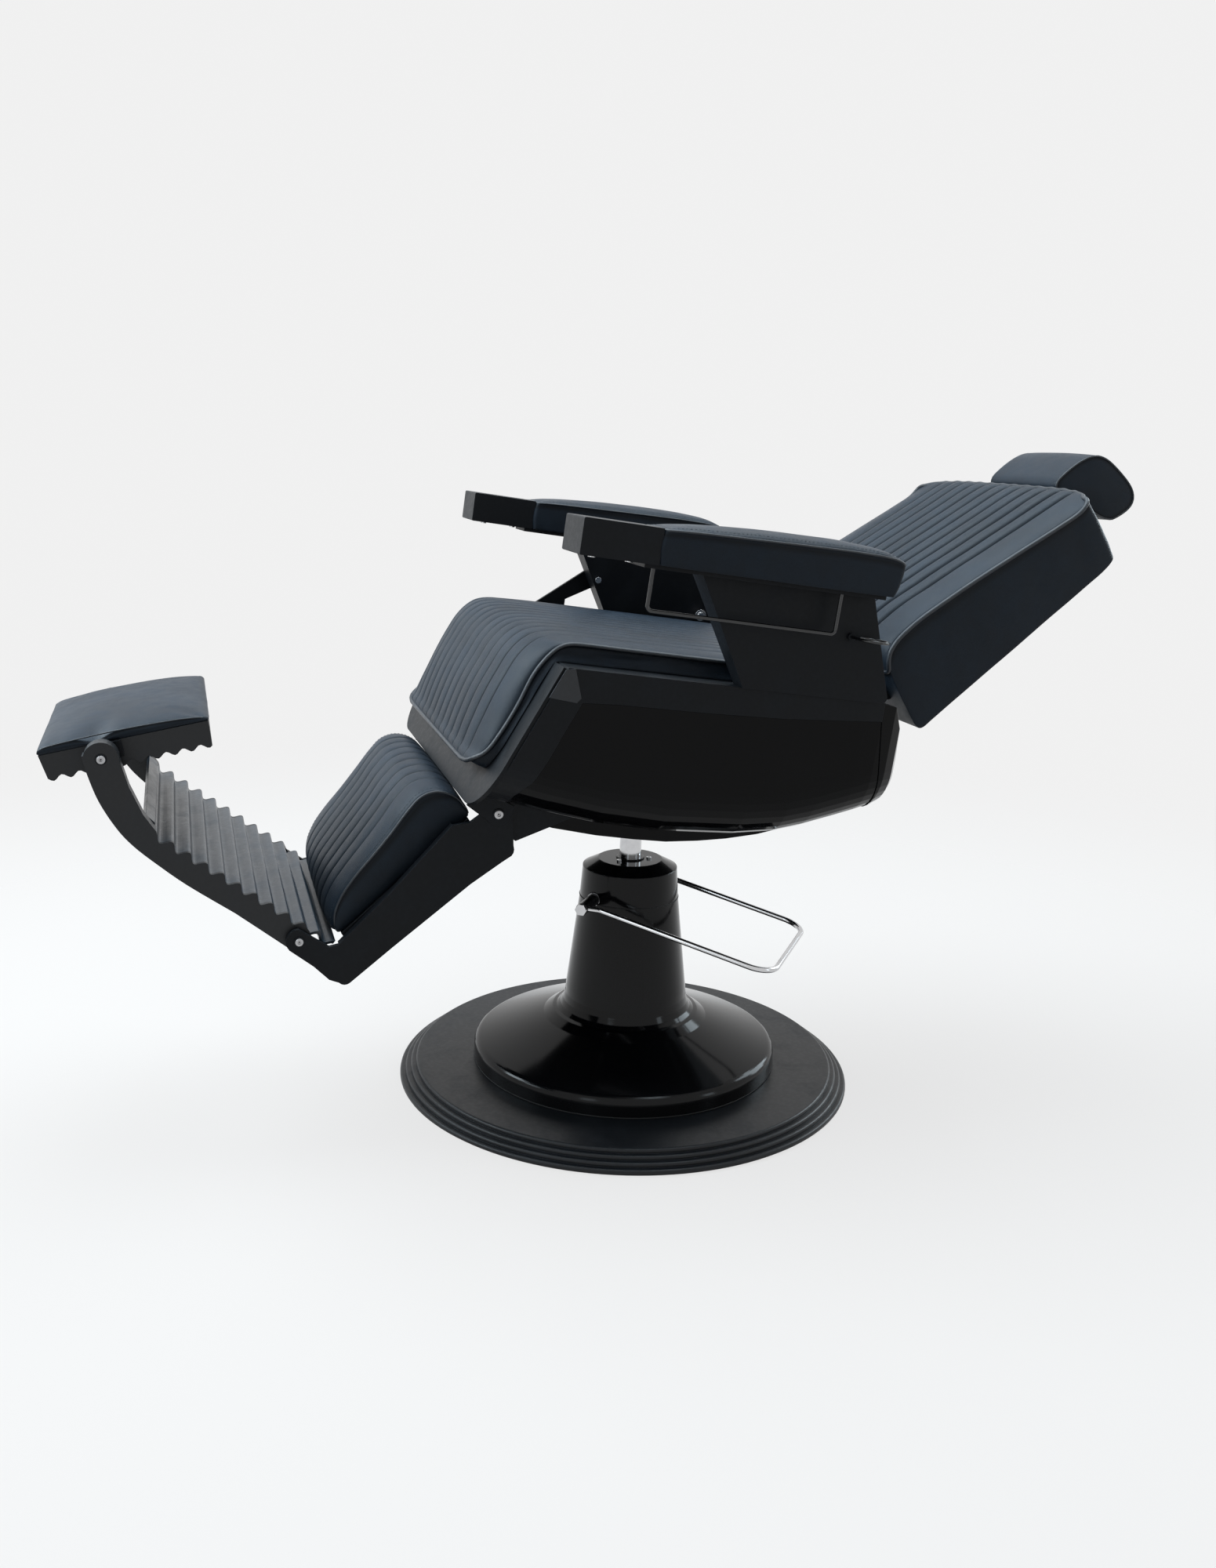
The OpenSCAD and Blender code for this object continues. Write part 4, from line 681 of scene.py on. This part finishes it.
CALF_STATIONS = [
    (*on_calf(-35), -30.5, 12, -28.5, 13), (*on_calf(-37), -29.5, 25, -26.5, 28),
    (*on_calf(-43), -31, 39, -28.5, 46), (*on_calf(-53), -39, 52.5, -37.5, 62),
    (*on_calf(-64), -51, 62.5, -52, 72.5), (*on_calf(-78), -68, 66.5, -71, 77.5),
    (*on_calf(-95), -91, 60.5, -95, 72.5), (*on_calf(-125), -123, 48, -127, 59),
    (*on_calf(-160), -158, 36, -163, 44.8), (*on_calf(-195), -194, 24.5, -199, 31),
    (*on_calf(-222), -223, 11, -230, 16.5), (*on_calf(-236), -239, -2, -247.5, 2.5),
    (*on_calf(-243), -245.5, -13, -255.5, -11), (*on_calf(-246), -247.5, -22, -256, -22)]
FOOT_STATIONS = [
    (-70, 12.4, -71, 14.6, -70.8, 15), (-69, 12.4, -69.8, 17.5, -68.5, 20),
    (-64, 12.4, -65, 20, -62, 24.5), (-48, 12.4, -49, 21.5, -46, 28.2),
    (-20, 12.4, -20, 22.6, -20, 31.2), (25, 12.4, 25, 23.2, 25, 32), (66, 12.4, 66, 22.4, 66, 30.8),
    (98, 12.4, 99, 20.6, 98, 27.2), (115, 12.4, 117, 18.4, 115.5, 23),
    (123, 12.4, 125, 16.4, 124, 19), (125.6, 12.4, 127.4, 14.4, 127.2, 14.6)]
ARM_STATIONS = [
    (165, 364.3, 173.6, 400, 173.8, 400.2), (164.5, 364.3, 172.5, 403.6, 172, 405.5),
    (162, 364.3, 168.5, 406.6, 168, 410.5), (155, 364.3, 158, 409, 158, 415),
    (115, 364.3, 115, 411.2, 115, 420), (60, 364.3, 60, 410.6, 60, 420),
    (0, 364.3, 0, 409.2, 0, 418.6), (-50, 364.3, -50, 407.8, -50, 416.2),
    (-100, 364.3, -100, 406.2, -100, 412.4), (-125, 364.3, -125, 404.8, -125, 408.4),
    (-134.4, 364.3, -134.4, 403.8, -134.4, 405.4)]
HEADREST_OUTLINE = [
    (426, 29.9), (429.5, 38.2), (436, 42), (446, 44), (461, 46.3), (480.4, 47), (496, 44.5), (508.5, 38.5),
    (517, 29), (523.5, 17), (531, -5), (536.2, -26), (536.3, -40), (531.5, -51), (521.5, -57.6),
    (502, -59), (480.9, -55.8), (453.4, -12.8)]


def outwards_line(pad, shift, drop=0.0):
    """The top's edge line, moved out of the cushion by shift and down its side by drop."""
    m, n = pad.top.shape[:2]
    line = []
    for i, j in pad.rim():
        inner = pad.top[min(max(i, 2), m - 3), min(max(j, 3), n - 4)]
        p, b = pad.top[i, j], pad.base[i, j]
        out = unit(p - inner)
        down = unit(b - p)
        line.append(p + out * shift + down * drop)
    return np.array(line)


def inner_line(pad, inset):
    """A line on the top that keeps inset millimetres from its edge, with the normals there."""
    m, n = pad.top.shape[:2]
    rows = [i for i in range(m) if inset <= pad.run[i] <= pad.run[-1] - inset]
    points, normals = [], []

    def take(i, sign):
        x = sign * (pad.widths[i] - inset)
        j = int(np.argmin(np.abs(pad.top[i, :, 0] - x)))
        k = min(max(j + (1 if pad.top[i, j, 0] < x else -1), 0), n - 1)
        span = pad.top[i, k, 0] - pad.top[i, j, 0]
        f = 0 if abs(span) < 1e-6 else min(max((x - pad.top[i, j, 0]) / span, 0), 1)
        points.append(pad.top[i, j] * (1 - f) + pad.top[i, k] * f)
        normals.append(pad.normal[i, j])

    def across(i, columns):
        for j in columns:
            if abs(pad.top[i, j, 0]) < pad.widths[i] - inset:
                points.append(pad.top[i, j])
                normals.append(pad.normal[i, j])

    for i in rows:
        take(i, 1)
    across(rows[-1], range(n - 1, -1, -1))
    for i in reversed(rows):
        take(i, -1)
    across(rows[0], range(n))
    return np.array(points), np.array(normals)


def share(value, start, span):
    """How far value has come from start over span, from 0 to 1."""
    return max(0.0, min(1.0, (value - start) / span))


def roughen(piece, amount, size, seed):
    """Small uneven swells over a cushion, as stuffing gives it."""
    mesh = piece.data
    shift = Vector((seed, 2.3 * seed, -seed))
    moves = [v.normal * amount * noise.noise(v.co / size + shift) for v in mesh.vertices]
    mesh.vertices.foreach_set("co", [c for v, move in zip(mesh.vertices, moves) for c in v.co + move])
    mesh.update()


def upholster(pad, name, place, body, node, crease=0.0, seed=1.0, pressure=2.0, cap=2.0,
              uneven=0.0004):
    piece = pad.mesh(name, place, crease, seed)
    swell(piece, held_points(pad), pressure, cap)
    roughen(piece, uneven, 0.05, seed)
    smoothed(piece)
    finish_piece(piece, body, "vinyl")
    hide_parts(node)
    return piece


def piping(pad, name, place, body, radius, shift=0.7, drop=0.0, finish="piping"):
    line = spaced(outwards_line(pad, radius * shift, drop), 4.5, True)
    for _ in range(2):
        line = (np.roll(line, 1, 0) + 2 * line + np.roll(line, -1, 0)) / 4
    return finish_piece(tube(name, line, radius, place), body, finish)


def channel_stitches(pad, name, place, body, pitch=5.2, width=0.62):
    step = 2 * pad.channel_half / pad.channels
    ends = slice(4, -4)
    lines = []
    for k in range(pad.channels + 1):
        points, normals = pad.line(-pad.channel_half + k * step)
        lines.append((points[ends], normals[ends]))
    piece = stitches(name, lines, place, pitch, pitch * STITCH_SHARE, width)
    return finish_piece(piece, body, "thread")


def border_stitches(pad, name, place, body, inset, pitch=5.2, width=0.6):
    points, normals = inner_line(pad, inset)
    points = np.vstack([points, points[:1]])
    normals = np.vstack([normals, normals[:1]])
    piece = stitches(name, [(points, normals)], place, pitch, pitch * STITCH_SHARE, width, 0.25)
    return finish_piece(piece, body, "thread")


def rounded_loop(points, times=2):
    """Closed line with its corners cut back, points added evenly."""
    p = np.array(points, float)
    for _ in range(times):
        n = np.roll(p, -1, 0)
        p = np.stack([0.75 * p + 0.25 * n, 0.25 * p + 0.75 * n], 1).reshape(-1, 2)
    return p


def bolster(name, outline, half, edge, dome, place):
    """A roll cushion: an outline swept across, with rounded edges and softly domed end panels."""
    loop = spaced(rounded_loop(outline), 5.0, True)
    centre = loop.mean(0)
    away = loop - centre
    away /= np.linalg.norm(away, axis=1, keepdims=True)
    # The last number of each level is its seam value, painted shade in the vinyl: 0.9 in the crease beside the end
    # welts, 0.35 next to it, 0.1 on the end panels, 0.05 round the rounded edge and 0 along the roll.
    levels = []
    for f in (0.0, 0.3, 0.55, 0.78, 0.92):
        levels.append((half + dome * (1 - f**2), None, f, 0.1))
    levels.append((half - 0.2, edge * 0.72, None, 0.9))
    for a in (25, 50, 72, 90):
        cos, sin = math.cos(math.radians(a)), math.sin(math.radians(a))
        levels.append((half - edge + edge * cos, edge * (1 - sin), None, 0.35 if a == 25 else 0.05))
    for x in (half * 0.8, half * 0.62, half * 0.42, half * 0.2, 0):
        levels.append((x, -1.6 * (1 - (x / half) ** 2), None, 0.0))
    full = [(-x, i, f, s) for x, i, f, s in levels] + [(x, i, f, s) for x, i, f, s in reversed(levels[:-1])]
    points, seam = [], []
    for x, inset, f, s in full:
        for p, a in zip(loop, away):
            q = centre + (p - edge * 0.85 * a - centre) * f if inset is None else p - a * inset
            points.append((x, q[0], q[1]))
            seam.append(s)
    m, faces = len(loop), []
    for i in range(1, len(full) - 2):
        for j in range(m):
            k = (j + 1) % m
            faces.append((i * m + j, i * m + k, (i + 1) * m + k, (i + 1) * m + j))
    used = len(points)
    for at, row in ((0, 1), (len(full) - 1, len(full) - 2)):
        points.append(points[at * m])
        seam.append(0)
        for j in range(m):
            faces.append((len(points) - 1, row * m + j, row * m + (j + 1) % m))
    keep = list(range(m, used - m)) + [used, used + 1]
    index = {old: new for new, old in enumerate(keep)}
    faces = [tuple(index[v] for v in f) for f in faces]
    return new_piece(name, [points[k] for k in keep], faces, place, {"seam": [seam[k] for k in keep]}), loop


# ---- Parts made one by one ----
def primitive(name, add, **settings):
    """Adds one of Blender's primitives under its own name."""
    bpy.ops.object.select_all(action="DESELECT")
    add(**settings)
    piece = bpy.context.object
    piece.name = piece.data.name = name
    return piece


def bolt_head(name, radius, height, socket):
    """A pan-head bolt with a hexagon socket, pointing along +X, its underside at the origin."""
    piece = primitive(name, bpy.ops.mesh.primitive_cylinder_add, vertices=36, radius=radius, depth=height,
                      location=(0, 0, height / 2))
    bpy.ops.object.mode_set(mode="EDIT")
    bpy.ops.mesh.select_mode(type="FACE")
    bpy.ops.mesh.select_all(action="DESELECT")
    bpy.ops.object.mode_set(mode="OBJECT")
    for polygon in piece.data.polygons:
        polygon.select = polygon.normal.z > 0.9
    bpy.ops.object.mode_set(mode="EDIT")
    bpy.ops.mesh.inset(thickness=radius * 0.18, depth=height * 0.16)
    bpy.ops.mesh.inset(thickness=radius * 0.82 - socket, depth=height * 0.1)
    bpy.ops.mesh.inset(thickness=socket * 0.08, depth=-height * 0.08)
    bpy.ops.mesh.extrude_region_move(TRANSFORM_OT_translate={"value": (0, 0, -height * 0.6)})
    bpy.ops.mesh.inset(thickness=socket * 0.5, depth=-height * 0.08)
    bpy.ops.object.mode_set(mode="OBJECT")
    soften(piece, radius * 0.05, 2, 35)
    return piece


def washer(name, radius, height):
    """A thin plain washer, pointing along +X, its underside at the origin."""
    piece = primitive(name, bpy.ops.mesh.primitive_cylinder_add, vertices=40, radius=radius, depth=height,
                      location=(0, 0, height / 2))
    bpy.ops.object.transform_apply(location=True, rotation=True, scale=True)
    soften(piece, height * 0.4, 2, 35)
    return piece


def soften(piece, width, segments=2, angle=30.0):
    """Rounds the sharp edges of a piece and shades it by angle."""
    bevel = piece.modifiers.new("Bevel", "BEVEL")
    bevel.width = width
    bevel.segments = segments
    bevel.limit_method = "ANGLE"
    bevel.angle_limit = math.radians(angle)
    only(piece)
    bpy.ops.object.modifier_apply(modifier=bevel.name)
    bpy.ops.object.shade_smooth_by_angle(angle=math.radians(angle))


def copies(model, name, places):
    """One copy of a model, with its own mesh, at each place; the model goes."""
    made = []
    for k, place in enumerate(places):
        piece = bpy.data.objects.new(f"{name}_{k + 1}", model.data.copy())
        piece.data.name = piece.name
        piece.data.transform(place)
        bpy.context.scene.collection.objects.link(piece)
        made.append(piece)
    bpy.data.objects.remove(model)
    return made


def facing_out(x, point, spin=0.0):
    """Place of a fastener on the outer face x of either side, in metres."""
    side = 1 if x > 0 else -1
    turn = Matrix.Rotation(math.radians(90 * side), 4, "Y")
    return Matrix.Translation((x, point[1], point[2])) @ turn @ Matrix.Rotation(spin, 4, "Z")


def ring(name, radius, thickness, height, body, finish, slot, segments=96):
    piece = primitive(name, bpy.ops.mesh.primitive_torus_add, major_segments=segments, minor_segments=8,
                      major_radius=radius, minor_radius=thickness, location=(0, 0, height))
    bpy.ops.object.transform_apply(location=True, rotation=True, scale=True)
    bpy.ops.object.shade_smooth()
    return finish_piece(piece, body, finish)


# ---- Settings ----
def colour(name, description, default):
    return bpy.props.FloatVectorProperty(name=name, description=description, subtype="COLOR", size=3,
                                         min=0, max=1, default=default)


def length(name, description, low, high, default):
    return bpy.props.FloatProperty(name=name, description=description, unit="LENGTH", min=low, max=high,
                                   default=default)


def count_of(name, description, low, high, default):
    return bpy.props.IntProperty(name=name, description=description, min=low, max=high, default=default)


def power(name, description, default):
    return bpy.props.FloatProperty(name=name, description=description, unit="POWER", min=0, default=default)


class ChairLook(bpy.types.PropertyGroup):
    """Colours of the chair's finishes."""
    vinyl_colour: colour("Vinyl", "Colour of the upholstery", (0.0135, 0.0205, 0.0300))
    thread_colour: colour("Thread", "Colour of the sewing thread", (0.045, 0.052, 0.06))
    frame_colour: colour("Frame", "Colour of the powder coat", (0.0058, 0.0070, 0.0088))
    enamel_colour: colour("Enamel", "Colour of the gloss enamel", (0.003, 0.003, 0.0035))


class ChairUpholstery(bpy.types.PropertyGroup):
    """Sizes of the upholstery."""
    seat_channels: count_of("Seat channels", "Sewn channels across the seat", 8, 14, 12)
    seat_groove: length("Seat groove", "Depth of the seat's sewn lines", 0.0005, 0.005, 0.0026)
    back_channels: count_of("Back channels", "Padded rolls across the back", 8, 12, 11)
    back_groove: length("Back groove", "Depth between the back's rolls", 0.001, 0.01, 0.006)
    piping_radius: length("Piping", "Radius of the piping cord", 0.0015, 0.005, 0.003)


class StudioSettings(bpy.types.PropertyGroup):
    """Lamps and backdrop of the studio."""
    key_power: power("Key lamp", "Power of the large front lamp", 205.0)
    fill_power: power("Fill lamp", "Power of the lamp behind the chair", 45.0)
    top_power: power("Top lamp", "Power of the overhead lamp", 115.0)
    side_power: power("Side lamps", "Power of each tall lamp at the near side", 3.5)
    backdrop_tone: bpy.props.FloatProperty(name="Backdrop", description="Brightness of the backdrop", min=0.2,
                                           max=1.0, default=0.875)


# ---- Operators ----
class CHAIR_OT_finishes(bpy.types.Operator):
    """Makes the finishes and puts them on the carried-over metal and board pieces"""
    bl_idname = "chair.finishes"
    bl_label = "Finishes"

    def execute(self, context):
        make_finishes(context.scene.chair_look)
        slot_of = {part["node"]: part["material_slot"] for part in frame["record"]["subparts"]}
        for node, piece in frame["nodes"].items():
            finish = FINISH_OF_NODE.get(node, FINISH_OF_SLOT[slot_of[node]])
            piece.data.materials.clear()
            piece.data.materials.append(FINISHES[finish])
            piece.data.polygons.foreach_set("material_index", [0] * len(piece.data.polygons))
        return {"FINISHED"}


class CHAIR_OT_seat(bpy.types.Operator):
    """Upholsters the seat: channelled cushion, piping and channel stitches"""
    bl_idname = "chair.seat"
    bl_label = "Seat cushion"

    def execute(self, context):
        sizes = context.scene.chair_upholstery
        pad = Pad(SEAT_STATIONS, 242, 200, sizes.seat_channels, sizes.seat_groove / MM, 0.8, (16, 34),
                  flare=8, bulge=-1.2, edge=(5.0, 0.55), step=7.0, seam_width=1.7)
        upholster(pad, "seat_cushion_vinyl", SEAT, "seat", "seat_cushion", crease=1.8, seed=3.0,
                  uneven=0.0002)
        piping(pad, "seat_piping", SEAT, "seat", sizes.piping_radius / MM)
        channel_stitches(pad, "seat_stitches", SEAT, "seat")
        return {"FINISHED"}


class CHAIR_OT_back(bpy.types.Operator):
    """Upholsters the back: fluted cushion with its piping, and the vinyl box behind it"""
    bl_idname = "chair.back"
    bl_label = "Back cushion"

    def execute(self, context):
        sizes = context.scene.chair_upholstery
        pad = Pad(BACK_STATIONS, 230.5, 176, sizes.back_channels, sizes.back_groove / MM, 4.2, (9, 16),
                  flare=0.5, bulge=1.6, edge=(4.0, 0.6), step=7.0, seam_width=3.0, side=14)
        piece = upholster(pad, "back_cushion_vinyl", BACK, "back", "back_cushion", crease=1.2, seed=5.0)
        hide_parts("back_shell")
        piping(pad, "back_piping", BACK, "back", sizes.piping_radius / MM)
        return {"FINISHED"}


class CHAIR_OT_headrest(bpy.types.Operator):
    """Upholsters the headrest roll with its end seams"""
    bl_idname = "chair.headrest"
    bl_label = "Headrest"

    def execute(self, context):
        piece, loop = bolster("headrest_vinyl", HEADREST_OUTLINE, 87, 5.0, 3.0, BACK)
        roughen(piece, 0.0006, 0.045, 7.0)
        smoothed(piece)
        finish_piece(piece, "headrest", "vinyl")
        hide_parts("headrest_cushion")
        centre = loop.mean(0)
        for side in (-1, 1):
            rim = [(side * 86.2, *(p + (centre - p) / np.linalg.norm(centre - p) * 1.6)) for p in loop]
            seam = tube(f"headrest_welt_{'right' if side < 0 else 'left'}", rim, 1.5, BACK, sides=6)
            finish_piece(seam, "headrest", "piping")
        return {"FINISHED"}


class CHAIR_OT_arm_pads(bpy.types.Operator):
    """Upholsters both arm pads, with a welt round the top and a row of stitches beside it"""
    bl_idname = "chair.arm_pads"
    bl_label = "Arm pads"

    def execute(self, context):
        pad = Pad(ARM_STATIONS, 42, 24, 1, 0, 0, (14, 5), flare=0.5, bulge=2.2, edge=(2.6, 0.55), step=8.0,
                  side=8)
        for side, x in (("left", 306), ("right", -306)):
            place = SEAT @ Matrix.Translation((x, 0, 0))
            upholster(pad, f"arm_pad_{side}_vinyl", place, "seat", f"arm_pad_{side}", crease=0.8,
                      seed=2.0 if x > 0 else 9.0, pressure=3.0, cap=3.0)
            piping(pad, f"arm_pad_{side}_welt", place, "seat", 1.5, 0.4)
            border_stitches(pad, f"arm_pad_{side}_stitches", place, "seat", 5.0)
        return {"FINISHED"}


class CHAIR_OT_calf(bpy.types.Operator):
    """Upholsters the leg rest: channelled cushion, welt and two kinds of stitches"""
    bl_idname = "chair.calf"
    bl_label = "Leg rest cushion"

    def execute(self, context):
        pad = Pad(CALF_STATIONS, 177, 128, 7, 2.2, 0.8, (12, 12), flare=0.5, bulge=3.0, edge=(3.6, 0.55),
                  step=6.0, side=8, seam_width=1.6)
        upholster(pad, "calf_cushion_vinyl", LEG, "leg_rest", "calf_cushion", crease=1.0, seed=4.0)
        piping(pad, "calf_welt", LEG, "leg_rest", 1.7, 0.5)
        channel_stitches(pad, "calf_stitches", LEG, "leg_rest")
        border_stitches(pad, "calf_border_stitches", LEG, "leg_rest", 6.0)
        return {"FINISHED"}


class CHAIR_OT_foot_pad(bpy.types.Operator):
    """Upholsters the fold-over foot pad, drawn tight over its tray"""
    bl_idname = "chair.foot_pad"
    bl_label = "Foot pad"

    def execute(self, context):
        pad = Pad(FOOT_STATIONS, 150, 96, 1, 0, 0, (8, 8), flare=0.4, bulge=1.6, edge=(3.4, 0.55), step=7.0,
                  side=5)
        piece = pad.mesh("foot_pad_vinyl", FLIP, 1.2, 6.0)
        inverse = FLIP.inverted()
        for vertex in piece.data.vertices:
            at = inverse @ vertex.co
            dent = 6.0 * share(at.x, 92, 55) * math.exp(-(((at.y + 4) / 17) ** 2)) * share(at.z, 13, 8)
            pull = share(at.x, 40, 80) * share(at.z, 16, 8) * math.exp(-(((at.y - 8) / 40) ** 2))
            pull *= 1.6 + 0.9 * math.sin(at.y / 9.0 + at.x / 60)
            at.z -= dent + pull
            vertex.co = FLIP @ at
        swell(piece, held_points(pad), 2.0, 2.0)
        roughen(piece, 0.0004, 0.06, 11.0)
        smoothed(piece)
        finish_piece(piece, "foot_pad", "vinyl")
        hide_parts("foot_pad")
        piping(pad, "foot_pad_edge", FLIP, "foot_pad", 0.9, 0.2, 0.6)
        return {"FINISHED"}


class CHAIR_OT_hardware(bpy.types.Operator):
    """Makes the bolts of the leg rest and footrest, and the thin dark rings of the column, which are painted shade
    in the groove at the cap and in the gap under the bell's rim
    """
    bl_idname = "chair.hardware"
    bl_label = "Bolts and rings"

    def execute(self, context):
        joints = {j["name"]: j["pos_m"] for j in frame["joints"]}
        for name, node, body, joint, x, radius in (
                ("leg_bolt", "leg_pivot_bolts", "seat", "leg_rest_swing", 0.203, 0.0075),
                ("foot_hinge_bolt", "foot_hinge_bolts", "leg_rest", "footrest_fold", 0.1963, 0.0065),
                ("flip_bolt", "flip_bolts", "foot_pad", "foot_pad_flip", 0.1873, 0.0065)):
            spot = joints[joint]
            under = washer(f"{name}_washer", radius, WASHER)
            for piece in copies(under, f"{name}_washer", [facing_out(x, spot), facing_out(-x, spot)]):
                finish_piece(piece, body, "powder")
            model = bolt_head(name, radius * 0.76, 0.0028, radius * 0.34)
            places = [facing_out(x + WASHER, spot, 0.3), facing_out(-x - WASHER, spot, 1.1)]
            made = copies(model, name, places)
            for piece in made:
                finish_piece(piece, body, "steel")
            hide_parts(node)
        # Two thin dark rubber rings: painted shade in the groove where the cap meets the bell, and in the gap
        # under the bell's rim.
        ring("cap_groove_shade_ring", 0.0714, 0.0009, 0.273, "base", "rubber", "gloss_enamel")
        ring("bell_foot_shadow_ring", 0.2213, 0.0012, 0.0275, "base", "rubber", "gloss_enamel", 128)
        return {"FINISHED"}


class CHAIR_OT_stage(bpy.types.Operator):
    """Sets up the pale floor, the lamps, the world and the camera"""
    bl_idname = "chair.stage"
    bl_label = "Studio"

    def execute(self, context):
        scene = context.scene
        studio = scene.chair_studio
        scene.view_settings.view_transform = "Standard"
        self.camera(scene)
        self.world(scene, studio)
        self.floor(studio)
        lamps = (("key_lamp", (-0.8, -2.6, 2.6), (0.0, -0.1, 0.5), (2.6, 1.9), studio.key_power),
                 ("back_lamp", (-0.9, 3.0, 1.6), (0.0, 0.0, 0.35), (1.4, 1.8), studio.fill_power),
                 ("top_lamp", (-0.4, 0.2, 3.2), (0.0, 0.0, 0.5), (2.4, 2.4), studio.top_power),
                 ("side_lamp", (2.1, -1.9, 1.25), (0.0, 0.0, 0.45), (0.5, 1.0), studio.side_power),
                 ("rear_side_lamp", (1.9, 2.1, 1.05), (0.0, 0.1, 0.45), (0.4, 0.9), studio.side_power))
        for name, at, towards, size, power in lamps:
            data = bpy.data.lights.new(name, "AREA")
            data.shape = "RECTANGLE"
            data.size, data.size_y = size
            data.energy = power
            data.color = LAMP_COLOUR
            lamp = bpy.data.objects.new(name, data)
            lamp.matrix_world = Matrix.Translation(at) @ (Vector(towards) - Vector(at)).to_track_quat(
                "-Z", "Y").to_matrix().to_4x4()
            scene.collection.objects.link(lamp)
        return {"FINISHED"}

    def camera(self, scene):
        yaw, pitch, roll = CAMERA_TURNS
        ahead = Vector((-math.cos(yaw) * math.cos(pitch), math.sin(yaw) * math.cos(pitch), -math.sin(pitch)))
        right = ahead.cross(Vector((0, 0, 1))).normalized()
        up = right.cross(ahead)
        cos, sin = math.cos(roll), math.sin(roll)
        right, up = cos * right + sin * up, -sin * right + cos * up
        turn = Matrix((right, up, -ahead)).transposed().to_4x4()
        data = bpy.data.cameras.new("camera")
        data.sensor_fit = "AUTO"
        data.sensor_width = 36.0
        data.lens = CAMERA_LENS
        data.clip_start, data.clip_end = 0.05, 200
        camera = bpy.data.objects.new("camera", data)
        camera.matrix_world = Matrix.Translation(CAMERA_PLACE) @ turn
        scene.collection.objects.link(camera)
        scene.camera = camera

    def world(self, scene, studio):
        world = bpy.data.worlds.new("studio")
        world.use_nodes = True
        scene.world = world
        tree = world.node_tree
        tree.nodes.clear()
        path = [add_node(tree, "ShaderNodeLightPath", out=name) for name in
                ("Is Camera Ray", "Is Glossy Ray", "Is Transmission Ray")]
        seen = path[0] + path[1] + path[2]
        tone_ = studio.backdrop_tone
        pale = add_node(tree, "ShaderNodeBackground", {},
                        {"Color": (tone_, tone_, tone_, 1), "Strength": 1.0})
        dim = add_node(tree, "ShaderNodeBackground", {}, {"Color": ROOM_COLOUR, "Strength": ROOM_LIGHT})
        mixed = add_node(tree, "ShaderNodeMixShader", {}, {0: seen, 1: dim, 2: pale})
        add_node(tree, "ShaderNodeOutputWorld", {}, {"Surface": mixed})

    def floor(self, studio):
        floor = primitive("floor", bpy.ops.mesh.primitive_circle_add, vertices=128, radius=FLOOR_RADIUS,
                          fill_type="NGON", location=(0, 0, 0))
        m = Finish("studio_floor")
        tone_ = studio.backdrop_tone
        away = m.node("ShaderNodeVectorMath", {"operation": "LENGTH"}, {0: m.place}, out="Value")
        fade = away.ramp(0.9, 2.6)
        m.set(Base_Color=FLOOR_COLOUR, Roughness=0.9)
        glow = m.node("ShaderNodeEmission", {}, {"Color": (tone_, tone_, tone_, 1), "Strength": FLOOR_GLOW})
        clear = m.node("ShaderNodeBsdfTransparent")
        lit = Shade(m.tree, m.shader.outputs[0])
        seen = [m.node("ShaderNodeLightPath", out=name) for name in ("Is Camera Ray", "Is Glossy Ray")]
        body = m.node("ShaderNodeMixShader", {}, {0: (seen[0] + seen[1]) * 0.7, 1: lit, 2: glow})
        mixed = m.node("ShaderNodeMixShader", {}, {0: fade, 1: body, 2: clear})
        output = m.tree.nodes["Material Output"]
        m.tree.links.new(mixed.socket, output.inputs["Surface"])
        floor.data.materials.append(m.material)


class CHAIR_PT_panel(bpy.types.Panel):
    """Lists the chair's settings and the steps that make it"""
    bl_idname = "CHAIR_PT_panel"
    bl_label = "Barber chair"
    bl_space_type = "VIEW_3D"
    bl_region_type = "UI"
    bl_category = "Barber chair"

    def draw(self, context):
        scene = context.scene
        for group in (scene.chair_look, scene.chair_upholstery, scene.chair_studio):
            box = self.layout.box()
            for key in group.bl_rna.properties.keys():
                if key not in ("rna_type", "name"):
                    box.prop(group, key)
        for step in STEPS:
            self.layout.operator(step.bl_idname)


STEPS = (CHAIR_OT_stage, CHAIR_OT_finishes, CHAIR_OT_seat, CHAIR_OT_back, CHAIR_OT_headrest,
         CHAIR_OT_arm_pads, CHAIR_OT_calf, CHAIR_OT_foot_pad, CHAIR_OT_hardware)
GROUPS = (("chair_look", ChairLook), ("chair_upholstery", ChairUpholstery), ("chair_studio", StudioSettings))


def register():
    for name, group in GROUPS:
        bpy.utils.register_class(group)
        setattr(bpy.types.Scene, name, bpy.props.PointerProperty(type=group))
    for step in STEPS:
        bpy.utils.register_class(step)
    bpy.utils.register_class(CHAIR_PT_panel)


def unregister():
    bpy.utils.unregister_class(CHAIR_PT_panel)
    for step in reversed(STEPS):
        bpy.utils.unregister_class(step)
    for name, group in reversed(GROUPS):
        delattr(bpy.types.Scene, name)
        bpy.utils.unregister_class(group)


def main():
    register()
    for step in STEPS:
        family, name = step.bl_idname.split(".")
        getattr(getattr(bpy.ops, family), name)()


if __name__ == "__main__":
    main()
